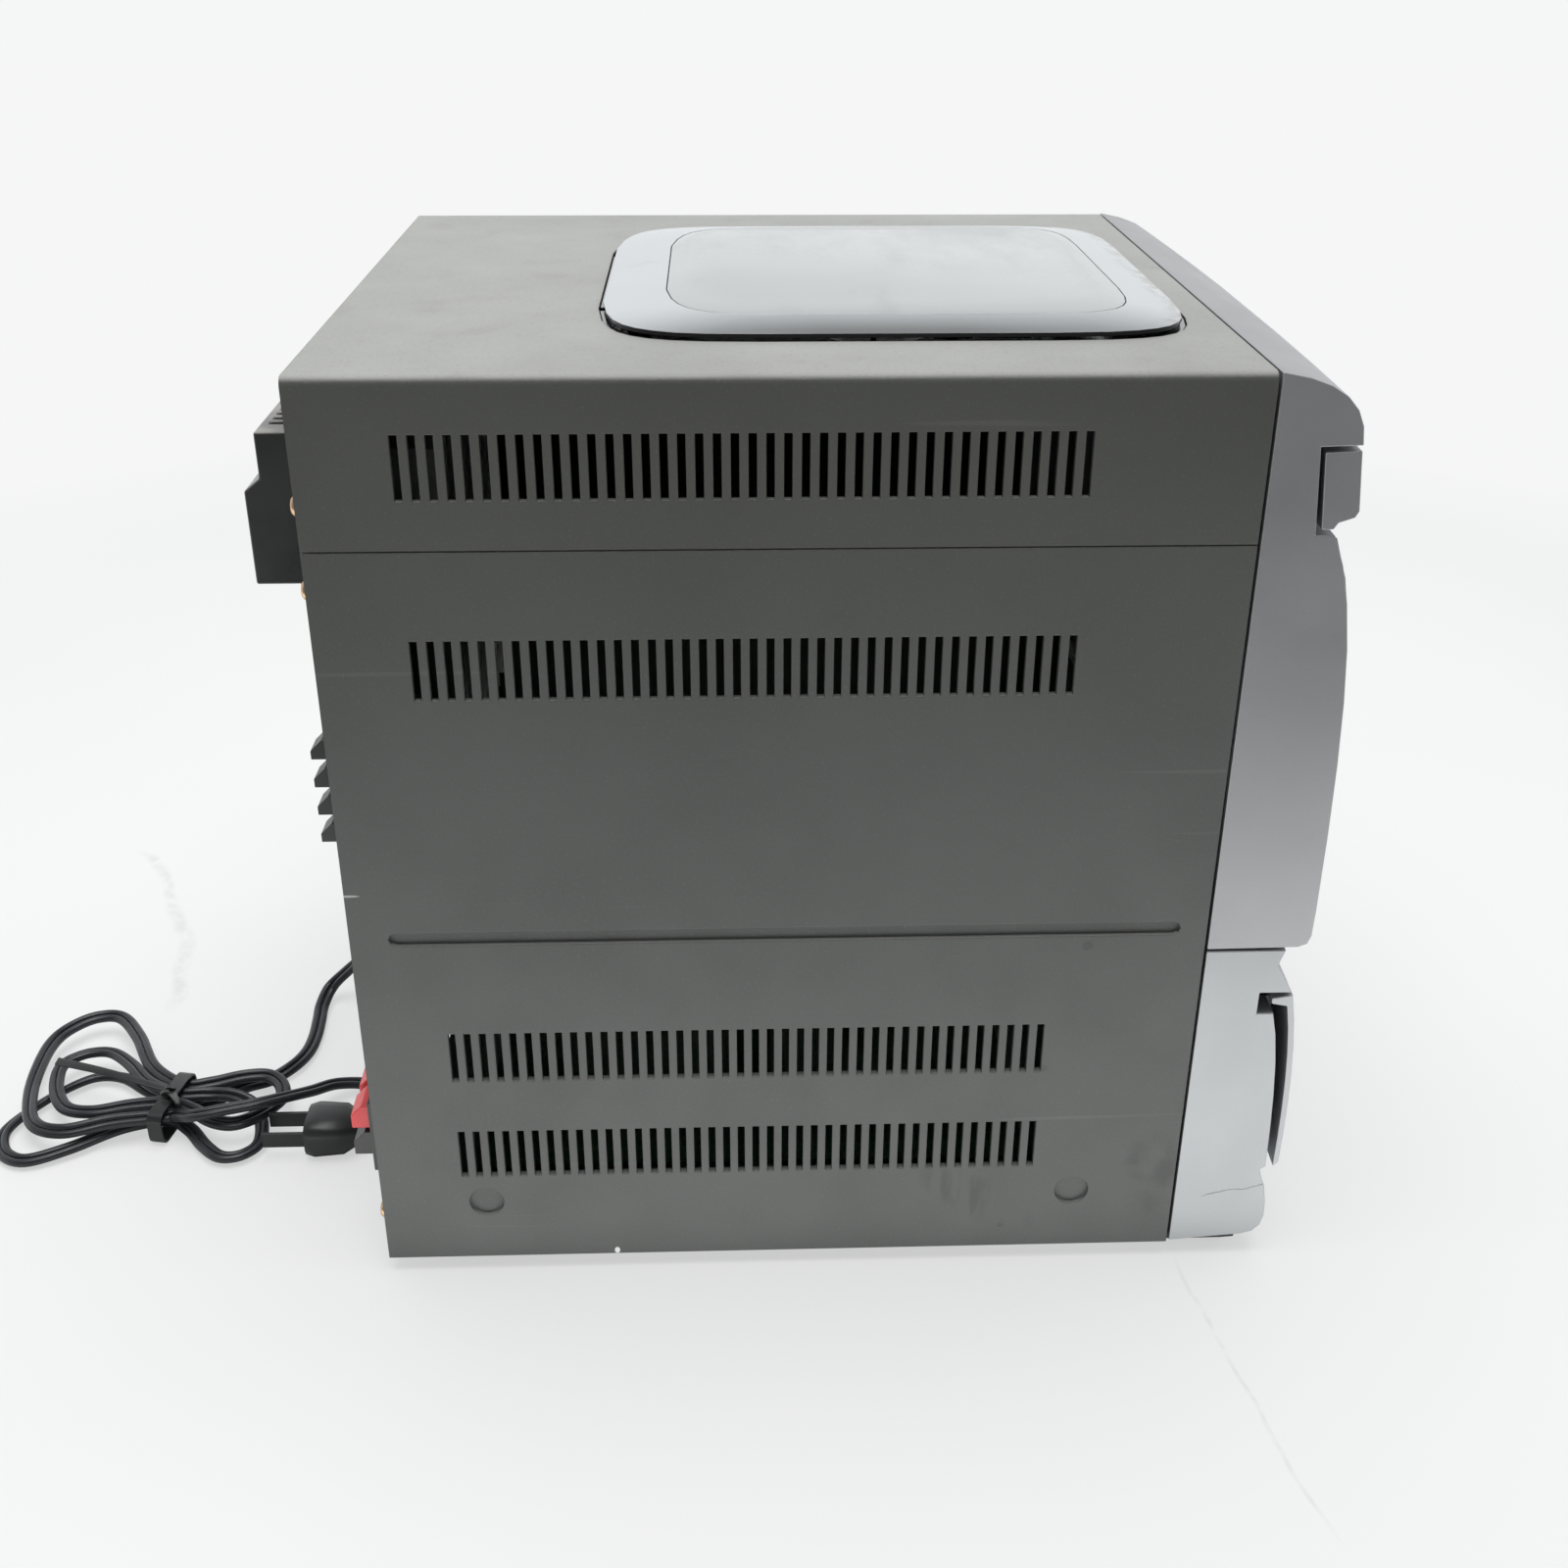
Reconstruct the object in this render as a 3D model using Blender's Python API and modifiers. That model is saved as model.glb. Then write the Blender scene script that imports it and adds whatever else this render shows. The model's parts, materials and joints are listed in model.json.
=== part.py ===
"""Mini hi-fi system with a top-loading disc lid, two cassette doors, clip terminals and a bundled mains cord.

Metres, +Z up. The front faces -Y. The origin is on the floor, under the middle of the unit without its cord.
"""

import math

import bmesh
import bpy
from mathutils import Matrix, Vector

# General clearances and walls
GAP = 0.0003
PANEL_WALL = 0.0025
MOULDING_WALL = 0.0022
SHEET = 0.0012
OVERRUN = 0.004
EMBED = 0.0006

# Case
CASE_WIDTH = 0.2636
CASE_HEIGHT = 0.3133
CASE_DEPTH = 0.277
FOOT_HEIGHT = 0.006
SEAM_HEIGHT = 0.2627
SEAM_GAP = 0.0006
TOP_EDGE_RADIUS = 0.003
FLANGE_WIDTH = 0.008
FLANGE_SPANS = ((0.008, 0.03), (0.072, 0.255))
COVER_LIP = 0.006
LIP_OVERLAP = 0.01

# Vent slots in the side walls
SLOT_COUNT = 40
SLOT_PITCH = 0.00502
SLOT_WIDTH = 0.0024
SLOT_HEIGHT = 0.0194
SLOT_ROW_DEPTH = 0.1496
COVER_SLOT_HEIGHT = 0.2873
UPPER_SLOT_HEIGHT = 0.2253
MIDDLE_SLOT_HEIGHT = 0.0855
LOWER_SLOT_HEIGHT = 0.0453

# Pressed groove and dimples in the side panels
PRESSED_DEPTH = 0.0014
GROOVE_HEIGHT = 0.1321
GROOVE_WIDTH = 0.005
GROOVE_FRONT = 0.0087
GROOVE_BACK = 0.2646
DIMPLE_RADIUS = 0.006
DIMPLE_HEIGHT = 0.0245
DIMPLE_FRONT = 0.0361
DIMPLE_BACK = 0.2409

# Front mouldings
FASCIA_REACH = 0.0351
FASCIA_GAP = 0.001
NOSE_HANDLE_SHARES = ((0.71, 0.1), (0.99, 0.34))
FACE_HANDLE_SHARES = ((0.64, 0.0), (0.918, 0.54), (1.0, 1.65))
FOOT_SHARES = ((1.0, 0.42), (0.995, 0.14), (0.965, 0.055), (0.88, 0.02))
NECK_SHARES = ((0.778, 0.0), (0.726, 0.343), (0.823, 0.693), (0.889, 1.0))
LOWER_FACE_SHARES = ((0.746, 1.0), (0.849, 0.819), (0.9, 0.426), (0.909, 0.018))
STEP_HEIGHT = 0.0318
BLOCK_SHARES = (
    (0.855, 1.0),
    (0.889, 0.871),
    (0.929, 0.758),
    (0.963, 0.535),
    (0.972, 0.346),
    (0.946, 0.214),
    (0.869, 0.12),
    (0.749, 0.085),
)
CROWN = 0.004
NOSE_REACH = 0.0268
FASCIA_SPLIT = 0.1232
SPLIT_GAP = 0.0004
KEY_CHANNEL_TOP = 0.2922
KEY_CHANNEL_BASE = 0.2655
KEY_CHANNEL_REACH = 0.0146
KEY_CHANNEL_BASE_REACH = 0.0167
KEY_CHANNEL_RISE = 0.0003
LIP_CHANNEL_TOP = 0.1061
LIP_CHANNEL_BASE = 0.098
LIP_CHANNEL_REACH = 0.0206
FRONT_STATIONS = 8

# Display lens
LENS_SIDE_HEIGHT = 0.243
LENS_MIDDLE_HEIGHT = 0.206
LENS_SIDE_MARGIN = 0.002
LENS_TOP_MARGIN = 0.0015
LENS_CURVE_SHARES = (-1.0, -0.75, -0.5, -0.25, 0.0, 0.25, 0.5, 0.75, 1.0)
LENS_STEPS = 5
LENS_PROUD = 0.0007
LENS_THICKNESS = 0.0018
DISPLAY_WIDTH = 0.13
DISPLAY_HEIGHT = 0.026
DISPLAY_CENTRE = 0.2385

# Function keys in the channel
KEY_COUNT = 5
KEY_SPACE = 0.0006
KEY_REACH = 0.0286
KEY_TOP_SPACE = 0.0015
KEY_BASE_SPACE = 0.0017
KEY_BACK_SPACE = 0.0015
KEY_TRAVEL = 0.0012
KEY_TOP_SHARES = ((0.563, 0.022), (0.934, 0.0))
KEY_FRONT_SHARES = ((1.0, 0.765), (0.965, 0.85), (0.867, 0.89), (0.804, 0.915), (0.759, 1.0))
KEY_STEM_WIDTH = 0.008
KEY_STEM_HEIGHT = 0.004
KEY_STEM_LEVEL = 0.279
KEY_STATIONS = 4

# Volume knob
KNOB_RADIUS = 0.023
KNOB_LENGTH = 0.0165
KNOB_SIDE = 0.078
KNOB_HEIGHT = 0.17
KNOB_PROUD = 0.0125
KNOB_RIM = 0.0012
KNOB_SPACE = 0.0008
KNOB_DISH = 0.0015
KNOB_DISH_SHARE = 0.8
KNOB_BORE = 0.0033
KNOB_HUB = 0.006
KNOB_SHELL = 0.002
SHAFT_RADIUS = 0.003
ENCODER_SIDE = 0.012
ENCODER_DEPTH = 0.006

# Transport and power keys
PLAY_KEYS = 3
PLAY_KEY_WIDTH = 0.03
PLAY_KEY_HEIGHT = 0.0095
PLAY_KEY_PITCH = 0.036
PLAY_KEY_LEVEL = 0.176
PLAY_KEY_START = -0.099
BUTTON_PROUD = 0.0016
BUTTON_LIP = 0.0012
BUTTON_FLANGE = 0.0012
BUTTON_EDGE = 0.0006
BUTTON_STEM = 0.005
BUTTON_TRAVEL = 0.001
WALL_SLOPE_SHARE = 1.1
SWITCH_HEIGHT = 0.003
SWITCH_SIDE = 0.006
DISPLAY_BORDER = 0.003
DISPLAY_DEPTH = 0.0195
POWER_RADIUS = 0.0075
POWER_SIDE = -0.108
POWER_HEIGHT = 0.212

# Cassette doors and their holders
DOOR_SPREAD = 0.0006
DOOR_BASE = 0.0329
DOOR_TOP = 0.105
DOOR_REACH = 0.0363
DOOR_OUTER_SHARES = ((0.882, 1.0), (0.992, 0.733), (1.017, 0.374), (1.0, 0.023))
DOOR_EDGE_SHARES = ((0.95, 0.0),)
DOOR_INNER_SHARES = ((0.948, 0.01), (0.959, 0.347), (0.937, 0.706), (0.843, 0.936))
DOOR_STATIONS = 5
LIP_THICKNESS = 0.0022
LIP_DROP = 0.0013
LIP_REACH = 0.0252
HINGE_REACH = 0.0245
HINGE_HEIGHT = 0.0364
DOOR_AJAR = math.radians(3.2)
HOLDER_WIDTH = 0.107
HOLDER_WALL = 0.0016
HOLDER_FRONT = 0.0266
HOLDER_DEPTH = 0.0162
HOLDER_DROP = 0.002
HOLDER_HEIGHT = 0.0626
HOLDER_WINDOW_SHARE = 0.72
HOLDER_SILL_SHARE = 0.42
HOLDER_RIB = 0.004
HOLDER_RIB_SPREAD_SHARE = 0.84
HOLDER_RIB_BASE = 0.046
HOLDER_RIB_TOP = 0.088
TRUNNION_RADIUS = 0.0019
TRUNNION_LENGTH = 0.0038
EAR_THICKNESS = 0.003
EAR_HEIGHT = 0.012
EAR_FRONT_SHARE = 0.883
BAY_WIDTH = 0.1092
BAY_BASE = 0.0326
BAY_TOP = 0.1045

# Tape mechanisms
DECK_BACK = 0.034
DECK_PLATE = 0.0016
DECK_FRONT = -0.0085
DECK_BASE = 0.036
DECK_HEIGHT = 0.066
DECK_WIDTH = 0.114
DECK_BODY_SHARE = 0.82
DECK_SILL_SHARE = 0.08
HUB_RADIUS = 0.0046
HUB_SPACING = 0.0425
HUB_LEVEL = 0.066
HUB_REACH = 0.019
HUB_SHAFT_RADIUS = 0.0013
HUB_SHAFT_DEPTH = 0.012
HUB_FLANGE = 0.0015
HUB_TOOTH = 0.0012
HUB_FLANGE_SHARE = 1.35
HUB_TIP_SHARE = 0.45
HUB_CORE_SHARE = 0.72
HUB_NOSE_SHARE = 0.8
HUB_TEETH = 3

# Disc lid and well
LID_HALF_WIDTH = 0.091
LID_HALF_LENGTH = 0.0916
LID_CENTRE = 0.1026
LID_REAR_SAG = 0.005
LID_POWER = 7.0
LID_POINTS = 36
LID_LIFT = 0.0006
LID_SKIRT = 0.0014
LID_CREST = 0.0042
LID_MARGIN = 0.0016
PANE_HALF_WIDTH = 0.0765
PANE_HALF_LENGTH = 0.075
PANE_CENTRE = 0.1005
PANE_SAG = 0.006
PANE_LEDGE = 0.003
PANE_THICKNESS = 0.0012
PANE_DOME = 0.0012
PANE_BORDER = 0.0012
PANE_SLOPE = 0.006
WELL_DEPTH = 0.0185
WELL_WALL = 0.0018
WELL_RIM_DROP = 0.0004
WELL_MARGIN = 0.0013
WELL_FLANGE = 0.0075
WELL_FLOOR_RADIUS = 0.0625
WELL_FLOOR_STEP = 0.002
WELL_SPINDLE_RADIUS = 0.0175
LASER_SLOT_WIDTH = 0.018
LASER_SLOT_LENGTH = 0.043
LASER_SLOT_START = 0.012
APRON_MARGIN = 0.006
APRON_SIDE = 0.011

# Lid hinge
LID_AXIS_BACK = 0.204
LID_AXIS_DROP = 0.013
ARM_SIDE = 0.045
ARM_THICKNESS = 0.0035
ARM_RADIUS = 0.0034
ARM_REACH = 0.021
ARM_SHARES = ((0.0, 0.0), (-0.619, -0.357), (-0.952, -0.262), (-1.0, 0.705))
ARM_HALF_WIDTH = 0.002
ARM_SLOT_SPACE = 0.0008
ARM_SLOT_REACH = 0.026
MITRE_SHARE = 0.5
LID_PIN_RADIUS = 0.0015
LID_PIN_CLEARANCE = 0.0004
BRACKET_THICKNESS = 0.0025
BRACKET_HALF = 0.004
PIN_TAIL = 0.0015

# Disc mechanism
MECHANISM_WIDTH = 0.124
MECHANISM_LENGTH = 0.12
MECHANISM_PLATE = 0.002
POST_RADIUS = 0.0035
POST_HEIGHT = 0.01
TURNTABLE_RADIUS = 0.015
TURNTABLE_BOSS_RADIUS = 0.0073
TURNTABLE_DROP = 0.014
TURNTABLE_BOSS = 0.0022
TURNTABLE_DISC = 0.002
MOTOR_RADIUS = 0.0115
MOTOR_HEIGHT = 0.009
SPINDLE_RADIUS = 0.001
SLED_LENGTH = 0.016
SLED_WIDTH = 0.027
SLED_HEIGHT = 0.006
SLED_START = 0.027
SLED_TRAVEL = 0.019
SLED_ROOM = 0.0005
TURRET_SIDE = 0.0135
TURRET_DROP = 0.0045
LENS_RADIUS = 0.0035
LENS_RISE = 0.0015
ROD_RADIUS = 0.0012
ROD_SPREAD = 0.02
ROD_BLOCK = 0.0035
ROD_LEVEL = 0.0043

# Back panel and what stands on it
BACK_WALL = 0.002
HEAT_COVER_HALF_WIDTH = 0.1018
HEAT_COVER_DEPTH = 0.0215
HEAT_COVER_UPPER_DEPTH = 0.0165
HEAT_COVER_TOP = 0.2895
HEAT_COVER_BASE = 0.242
HEAT_COVER_STEP = 0.2755
HEAT_COVER_SLOPE = 0.004
HEAT_COVER_WALL = 0.002
HEAT_SLOT_COUNT = 36
HEAT_SLOT_PITCH = 0.0052
HEAT_SLOT_WIDTH = 0.0024
HEAT_SLOT_FRONT = 0.0035
HEAT_SLOT_LENGTH = 0.0105
SINK_HALF_WIDTH = 0.07
SINK_BASE = 0.15
SINK_TOP = 0.275
SINK_PLATE = 0.004
SINK_FIN = 0.0016
SINK_FIN_LENGTH = 0.026
SINK_FINS = 11
ANTENNA_LEVERS = 4
ANTENNA_PITCH = 0.0098
ANTENNA_LEVER_HEIGHT = 0.0065
ANTENNA_LEVER_WIDTH = 0.009
ANTENNA_TOP = 0.196
ANTENNA_SIDE = -0.1125
ANTENNA_REACH = 0.0058
ANTENNA_BEVEL = 0.0036
SPEAKER_ROWS = 2
SPEAKER_COLUMNS = 2
SPEAKER_PITCH = 0.0112
SPEAKER_COLUMN_PITCH = 0.0165
SPEAKER_LEVER_HEIGHT = 0.0094
SPEAKER_LEVER_WIDTH = 0.012
SPEAKER_TOP = 0.0595
SPEAKER_SIDE = -0.1165
SPEAKER_REACH = 0.007
SPEAKER_BEVEL = 0.004
TERMINAL_FACE = 0.0022
TERMINAL_BORDER = 0.004
TERMINAL_BODY = 0.012
LEVER_CLEARANCE = 0.0004
LEVER_ROOT = 0.003
LEVER_ROOT_RISE = 0.0012
LEVER_SWING = math.radians(15)

# Boards, transformer and feet
BOARD_THICKNESS = 0.0016
BOARD_LEVEL = 0.026
BOARD_LEFT = -0.116
BOARD_RIGHT = 0.03
BOARD_FRONT = 0.05
BOARD_BACK = 0.245
STANDOFF_RADIUS = 0.0035
STANDOFF_INSET = 0.012
CHIP_COUNT = 5
CHIP_HEIGHT = 0.009
CHIP_WIDTH = 0.012
CAN_RADIUS = 0.008
CAN_HEIGHT = 0.028
CHIP_SHARES = (0.3, 0.68, 0.22, 0.75, 0.4)
CAN_SHARES = (0.5, 0.72)
TRANSFORMER_SIDE = 0.075
TRANSFORMER_FRONT = 0.09
TRANSFORMER_WIDTH = 0.066
TRANSFORMER_LENGTH = 0.05
TRANSFORMER_HEIGHT = 0.056
TRANSFORMER_COIL = 0.012
TRANSFORMER_FOOT = 0.002
TRANSFORMER_EAR = 0.009
BASE_FLANGE = 0.012
CONTROL_REACH = 0.0058
CONTROL_TOP = 0.29
CONTROL_HALF_WIDTH = 0.116
FOOT_LENGTH = 0.038
FOOT_WIDTH = 0.034
FOOT_INSET = 0.0048
FOOT_FRONT_REACH = 0.026
FOOT_REAR_MARGIN = 0.02
FOOT_CHAMFER = 0.0035

# Mains cord
CORD_RADIUS = 0.0026
CORD_SPACING = 0.0115
ROUTE_STEPS = 24
RELIEF_SIDE = 0.042
RELIEF_HEIGHT = 0.02
RELIEF_LENGTH = 0.022
RELIEF_RADIUS = 0.0062
RELIEF_TIP_RADIUS = 0.0042
RELIEF_FLANGE_RADIUS = 0.009
RELIEF_FLANGE = 0.002
CORD_ROUTE = (
    (0.0425, 0.0400, 0.0195),
    (0.0428, 0.0487, 0.0104),
    (0.0381, 0.0553, 0.0050),
    (0.0235, 0.0551, 0.0033),
    (0.0088, 0.0544, 0.0028),
    (-0.0039, 0.0556, 0.0029),
    (-0.0141, 0.0599, 0.0033),
    (-0.0214, 0.0673, 0.0027),
    (-0.0273, 0.0763, 0.0038),
    (-0.0338, 0.0866, 0.0025),
)
PLUG_ROUTE = (
    (-0.0583, 0.0890, 0.0133),
    (-0.0576, 0.0801, 0.0150),
    (-0.0565, 0.0715, 0.0156),
    (-0.0536, 0.0632, 0.0154),
    (-0.0487, 0.0553, 0.0141),
    (-0.0421, 0.0482, 0.0115),
    (-0.0348, 0.0420, 0.0083),
    (-0.0287, 0.0358, 0.0063),
    (-0.0264, 0.0280, 0.0041),
    (-0.0278, 0.0198, 0.0031),
    (-0.0332, 0.0126, 0.0030),
    (-0.0425, 0.0084, 0.0035),
    (-0.0535, 0.0075, 0.0050),
)

# Hank of the cord: where it passes the tie, as (places across, layer), and the loops between,
# as (reach, half width, lean share)
HANK_SIDE = -0.0395
HANK_BACK = 0.0985
HANK_TURN = math.radians(10.5)
HANK_PLACES = ((0.5, 0), (-1.5, 0), (0, 1), (-1, 1), (1, 1), (-2.5, 1))
HANK_LOOPS = (
    (0.0612, 0.0243, -0.32),
    (0.0398, 0.0138, -0.28),
    (0.0559, 0.0182, 0.28),
    (0.0409, 0.0128, 0.15),
    (0.0679, 0.0316, 0.48),
)
HALF_LOOP_POINTS = 12
HANK_ROUND_SHARE = 0.29
HANK_SWELL_PEAK = 1.54
HANK_PITCH = 0.0058
HANK_LAYER = 0.0058
HANK_LIFT = 0.0016
HANK_CLIMB_SHARES = (0.67, 0.97)
HANK_SELF_SPAN = 0.02

# Tie round the hank
TIE_GAP = 0.0005
TIE_SIDE_GAP = 0.0022
TIE_THICKNESS = 0.0009
TIE_WIDTH = 0.006

# Mains plug
PLUG_SIDE = -0.0605
PLUG_BACK = 0.0185
PLUG_LENGTH = 0.024
PLUG_WIDTH = 0.022
PLUG_HEIGHT = 0.016
PLUG_SIDES = 16
PLUG_ROUND_SHARE = 0.55
PLUG_SHARES = (
    (0.0, 0.36, 0.45),
    (0.15, 0.5, 0.6),
    (0.4, 0.93, 0.92),
    (0.85, 1.0, 1.0),
    (1.0, 0.9, 0.88),
)
BLADE_LENGTH = 0.0165
BLADE_WIDTH = 0.0063
BLADE_THICKNESS = 0.0015
BLADE_SPACING = 0.0127

# Places that follow from the sizes above
FRONT_REACH = FASCIA_REACH + CROWN + KNOB_PROUD
CASE_FRONT = (FRONT_REACH - CASE_DEPTH - HEAT_COVER_DEPTH - GAP) / 2
CASE_BACK = CASE_FRONT + CASE_DEPTH
CASE_BASE = FOOT_HEIGHT
CASE_TOP = CASE_BASE + CASE_HEIGHT
SEAM = CASE_BASE + SEAM_HEIGHT
SIDE = CASE_WIDTH / 2
INNER_SIDE = SIDE - PANEL_WALL
BACK_INNER = CASE_BACK - BACK_WALL


def clear_scene():
    for obj in list(bpy.data.objects):
        bpy.data.objects.remove(obj, do_unlink=True)


def new_collection(name):
    group = bpy.data.collections.new(name)
    bpy.context.scene.collection.children.link(group)
    return group


clear_scene()
PARTS = new_collection("mini_hifi_system")
TOOLS = new_collection("cutters")


def material(name, colour, roughness, metallic=0.0):
    found = bpy.data.materials.get(name)
    if found:
        return found
    made = bpy.data.materials.new(name)
    made.use_nodes = True
    shader = made.node_tree.nodes["Principled BSDF"]
    shader.inputs["Base Color"].default_value = (*colour, 1.0)
    shader.inputs["Roughness"].default_value = roughness
    shader.inputs["Metallic"].default_value = metallic
    return made


def case_plastic():
    return material("case_plastic", (0.065, 0.068, 0.064), 0.6)


def upper_silver():
    return material("upper_silver", (0.19, 0.19, 0.22), 0.38, 0.3)


def lower_silver():
    return material("lower_silver", (0.45, 0.48, 0.5), 0.4, 0.2)


def lid_silver():
    return material("lid_silver", (0.46, 0.5, 0.55), 0.35)


def lid_clear():
    return material("lid_clear", (0.5, 0.52, 0.54), 0.3)


def black_plastic():
    return material("black_plastic", (0.015, 0.016, 0.018), 0.35)


def red_plastic():
    return material("red_plastic", (0.65, 0.03, 0.035), 0.4)


def lens_plastic():
    return material("lens_plastic", (0.02, 0.022, 0.03), 0.12)


def steel():
    return material("steel", (0.55, 0.55, 0.54), 0.35, 1.0)


def aluminium():
    return material("aluminium", (0.6, 0.61, 0.62), 0.4, 1.0)


def board_green():
    return material("board_green", (0.03, 0.11, 0.05), 0.5)


def cord_black():
    return material("cord_black", (0.012, 0.012, 0.014), 0.4)


def place(obj, group, finish=None):
    group.objects.link(obj)
    if group is TOOLS:
        obj.hide_render = True
        obj.display_type = "WIRE"
    if finish:
        obj.data.materials.append(finish)
    return obj


def mesh_object(name, bm, group, finish=None):
    bmesh.ops.recalc_face_normals(bm, faces=bm.faces)
    if bm.calc_volume(signed=True) < 0:
        bmesh.ops.reverse_faces(bm, faces=bm.faces)
    mesh = bpy.data.meshes.new(name)
    bm.to_mesh(mesh)
    bm.free()
    return place(bpy.data.objects.new(name, mesh), group, finish)


def add_box(bm, low, high):
    """Adds a box between two corners."""
    low, high = Vector(low), Vector(high)
    size = high - low
    turn = Matrix.Translation((low + high) / 2) @ Matrix.Diagonal((*size, 1))
    bmesh.ops.create_cube(bm, size=1, matrix=turn)


def boxes(name, corners, group, finish=None):
    bm = bmesh.new()
    for low, high in corners:
        add_box(bm, low, high)
    return mesh_object(name, bm, group, finish)


def box(name, low, high, group, finish=None):
    return boxes(name, [(low, high)], group, finish)


AXES = {
    "X": Matrix(((0, 0, 1, 0), (1, 0, 0, 0), (0, 1, 0, 0), (0, 0, 0, 1))),
    "Y": Matrix(((1, 0, 0, 0), (0, 0, -1, 0), (0, 1, 0, 0), (0, 0, 0, 1))),
    "-Y": Matrix(((1, 0, 0, 0), (0, 0, 1, 0), (0, -1, 0, 0), (0, 0, 0, 1))),
    "Z": Matrix.Identity(4),
}


def cylinder(name, start, length, radius, axis, group, finish=None, sides=24, tip=None):
    """A cylinder or cone that runs from start along X, -Y or Z."""
    bm = bmesh.new()
    bmesh.ops.create_cone(
        bm,
        cap_ends=True,
        segments=sides,
        radius1=radius,
        radius2=radius if tip is None else tip,
        depth=length,
        matrix=Matrix.Translation((0, 0, length / 2)),
    )
    bm.transform(Matrix.Translation(start) @ AXES[axis])
    return mesh_object(name, bm, group, finish)


def plate(name, outline, start, end, axis, group, finish=None):
    """A flat outline extruded from start to end: (y, z) along X, (x, z) along Y, or (x, y) along Z."""
    curve = bpy.data.curves.new(name, "CURVE")
    curve.dimensions = "2D"
    curve.fill_mode = "BOTH"
    curve.extrude = abs(end - start) / 2
    line = curve.splines.new("POLY")
    line.points.add(len(outline) - 1)
    for point, (a, b) in zip(line.points, outline):
        point.co = (a, b, 0, 1)
    line.use_cyclic_u = True
    shape = bpy.data.objects.new(name, curve)
    bm = bmesh.new()
    mesh = bpy.data.meshes.new_from_object(shape)
    bm.from_mesh(mesh)
    bpy.data.objects.remove(shape)
    bpy.data.curves.remove(curve)
    bpy.data.meshes.remove(mesh)
    bmesh.ops.remove_doubles(bm, verts=bm.verts, dist=EMBED / 100)
    middle = (start + end) / 2
    lift = middle if axis != "Y" else -middle
    bm.transform(AXES[axis] @ Matrix.Translation((0, 0, lift)))
    return mesh_object(name, bm, group, finish)


def lofted(name, rings, group, finish=None):
    """A closed solid through rings of as many points each."""
    bm = bmesh.new()
    rows = [[bm.verts.new(point) for point in ring] for ring in rings]
    count = len(rows[0])
    for row, following in zip(rows, rows[1:]):
        for i in range(count):
            j = (i + 1) % count
            bm.faces.new((row[i], row[j], following[j], following[i]))
    bm.faces.new(rows[0])
    bm.faces.new(rows[-1])
    return mesh_object(name, bm, group, finish)


def turned(name, profile, start, axis, group, finish=None, steps=32):
    """A turned piece: its profile of (radius, height) runs from the top to the bottom."""
    mesh = bpy.data.meshes.new(name)
    bm = bmesh.new()
    points = [bm.verts.new((radius, 0, height)) for radius, height in profile]
    for a, b in zip(points, points[1:]):
        bm.edges.new((a, b))
    bm.to_mesh(mesh)
    bm.free()
    obj = place(bpy.data.objects.new(name, mesh), group, finish)
    screw = obj.modifiers.new("turn", "SCREW")
    screw.axis = "Z"
    screw.steps = steps
    screw.render_steps = steps
    screw.use_merge_vertices = True
    screw.merge_threshold = EMBED / 100
    obj.matrix_world = Matrix.Translation(start) @ AXES[axis]
    return obj


def join(target, tool, operation):
    change = target.modifiers.new(tool.name, "BOOLEAN")
    change.operation = operation
    change.solver = "EXACT"
    change.object = tool
    return target


def cut(target, tool):
    return join(target, tool, "DIFFERENCE")


def add(target, tool):
    return join(target, tool, "UNION")


def keep(target, tool):
    return join(target, tool, "INTERSECT")


def rounded(obj, width, segments=2, angle=40.0):
    bevel = obj.modifiers.new("rounded", "BEVEL")
    bevel.width = width
    bevel.segments = segments
    bevel.limit_method = "ANGLE"
    bevel.angle_limit = math.radians(angle)
    return obj


def pivot_at(obj, point):
    """Moves an object's origin to its joint axis and leaves its shape where it is."""
    point = Vector(point)
    obj.data.transform(Matrix.Translation(obj.location - point))
    obj.location = point
    return obj


def tilt_about(obj, point, angle):
    """Turns a piece and its origin about an axis along X through a point."""
    pivot_at(obj, point)
    obj.rotation_euler = (angle, 0, 0)
    return obj


def smooth(obj, angle=35.0):
    obj.data.shade_smooth()
    obj.data.set_sharp_from_angle(angle=math.radians(angle))
    return obj


def bezier(points, count):
    """Points on a cubic curve, both ends included."""
    found = []
    for i in range(count + 1):
        t = i / count
        weights = ((1 - t) ** 3, 3 * t * (1 - t) ** 2, 3 * t * t * (1 - t), t**3)
        found.append(tuple(sum(w * p[k] for w, p in zip(weights, points)) for k in (0, 1)))
    return found


def arc(centre, radius, start, end, count):
    found = []
    for i in range(count + 1):
        angle = math.radians(start + (end - start) * i / count)
        found.append((centre[0] + radius * math.cos(angle), centre[1] + radius * math.sin(angle)))
    return found


def crown_share(x):
    """How much further the front reaches at x than at the sides, as a factor of its reach."""
    return 1 + CROWN / FASCIA_REACH * (1 - (x / SIDE) ** 2)


def front_point(x, reach, height):
    return (x, CASE_FRONT - reach * crown_share(x), CASE_BASE + height)


def stations(low, high, count=FRONT_STATIONS):
    return [low + (high - low) * i / (count - 1) for i in range(count)]


def face_points():
    """The curve of the upper moulding's face, as (reach, height) from its top edge down."""
    top, low = KEY_CHANNEL_BASE, FASCIA_SPLIT
    handles = [(FASCIA_REACH * a, top - FASCIA_REACH * b) for a, b in FACE_HANDLE_SHARES]
    a, b = FOOT_SHARES[0]
    return bezier(handles + [(FASCIA_REACH * a, low + FASCIA_REACH * b)], 7)


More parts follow.
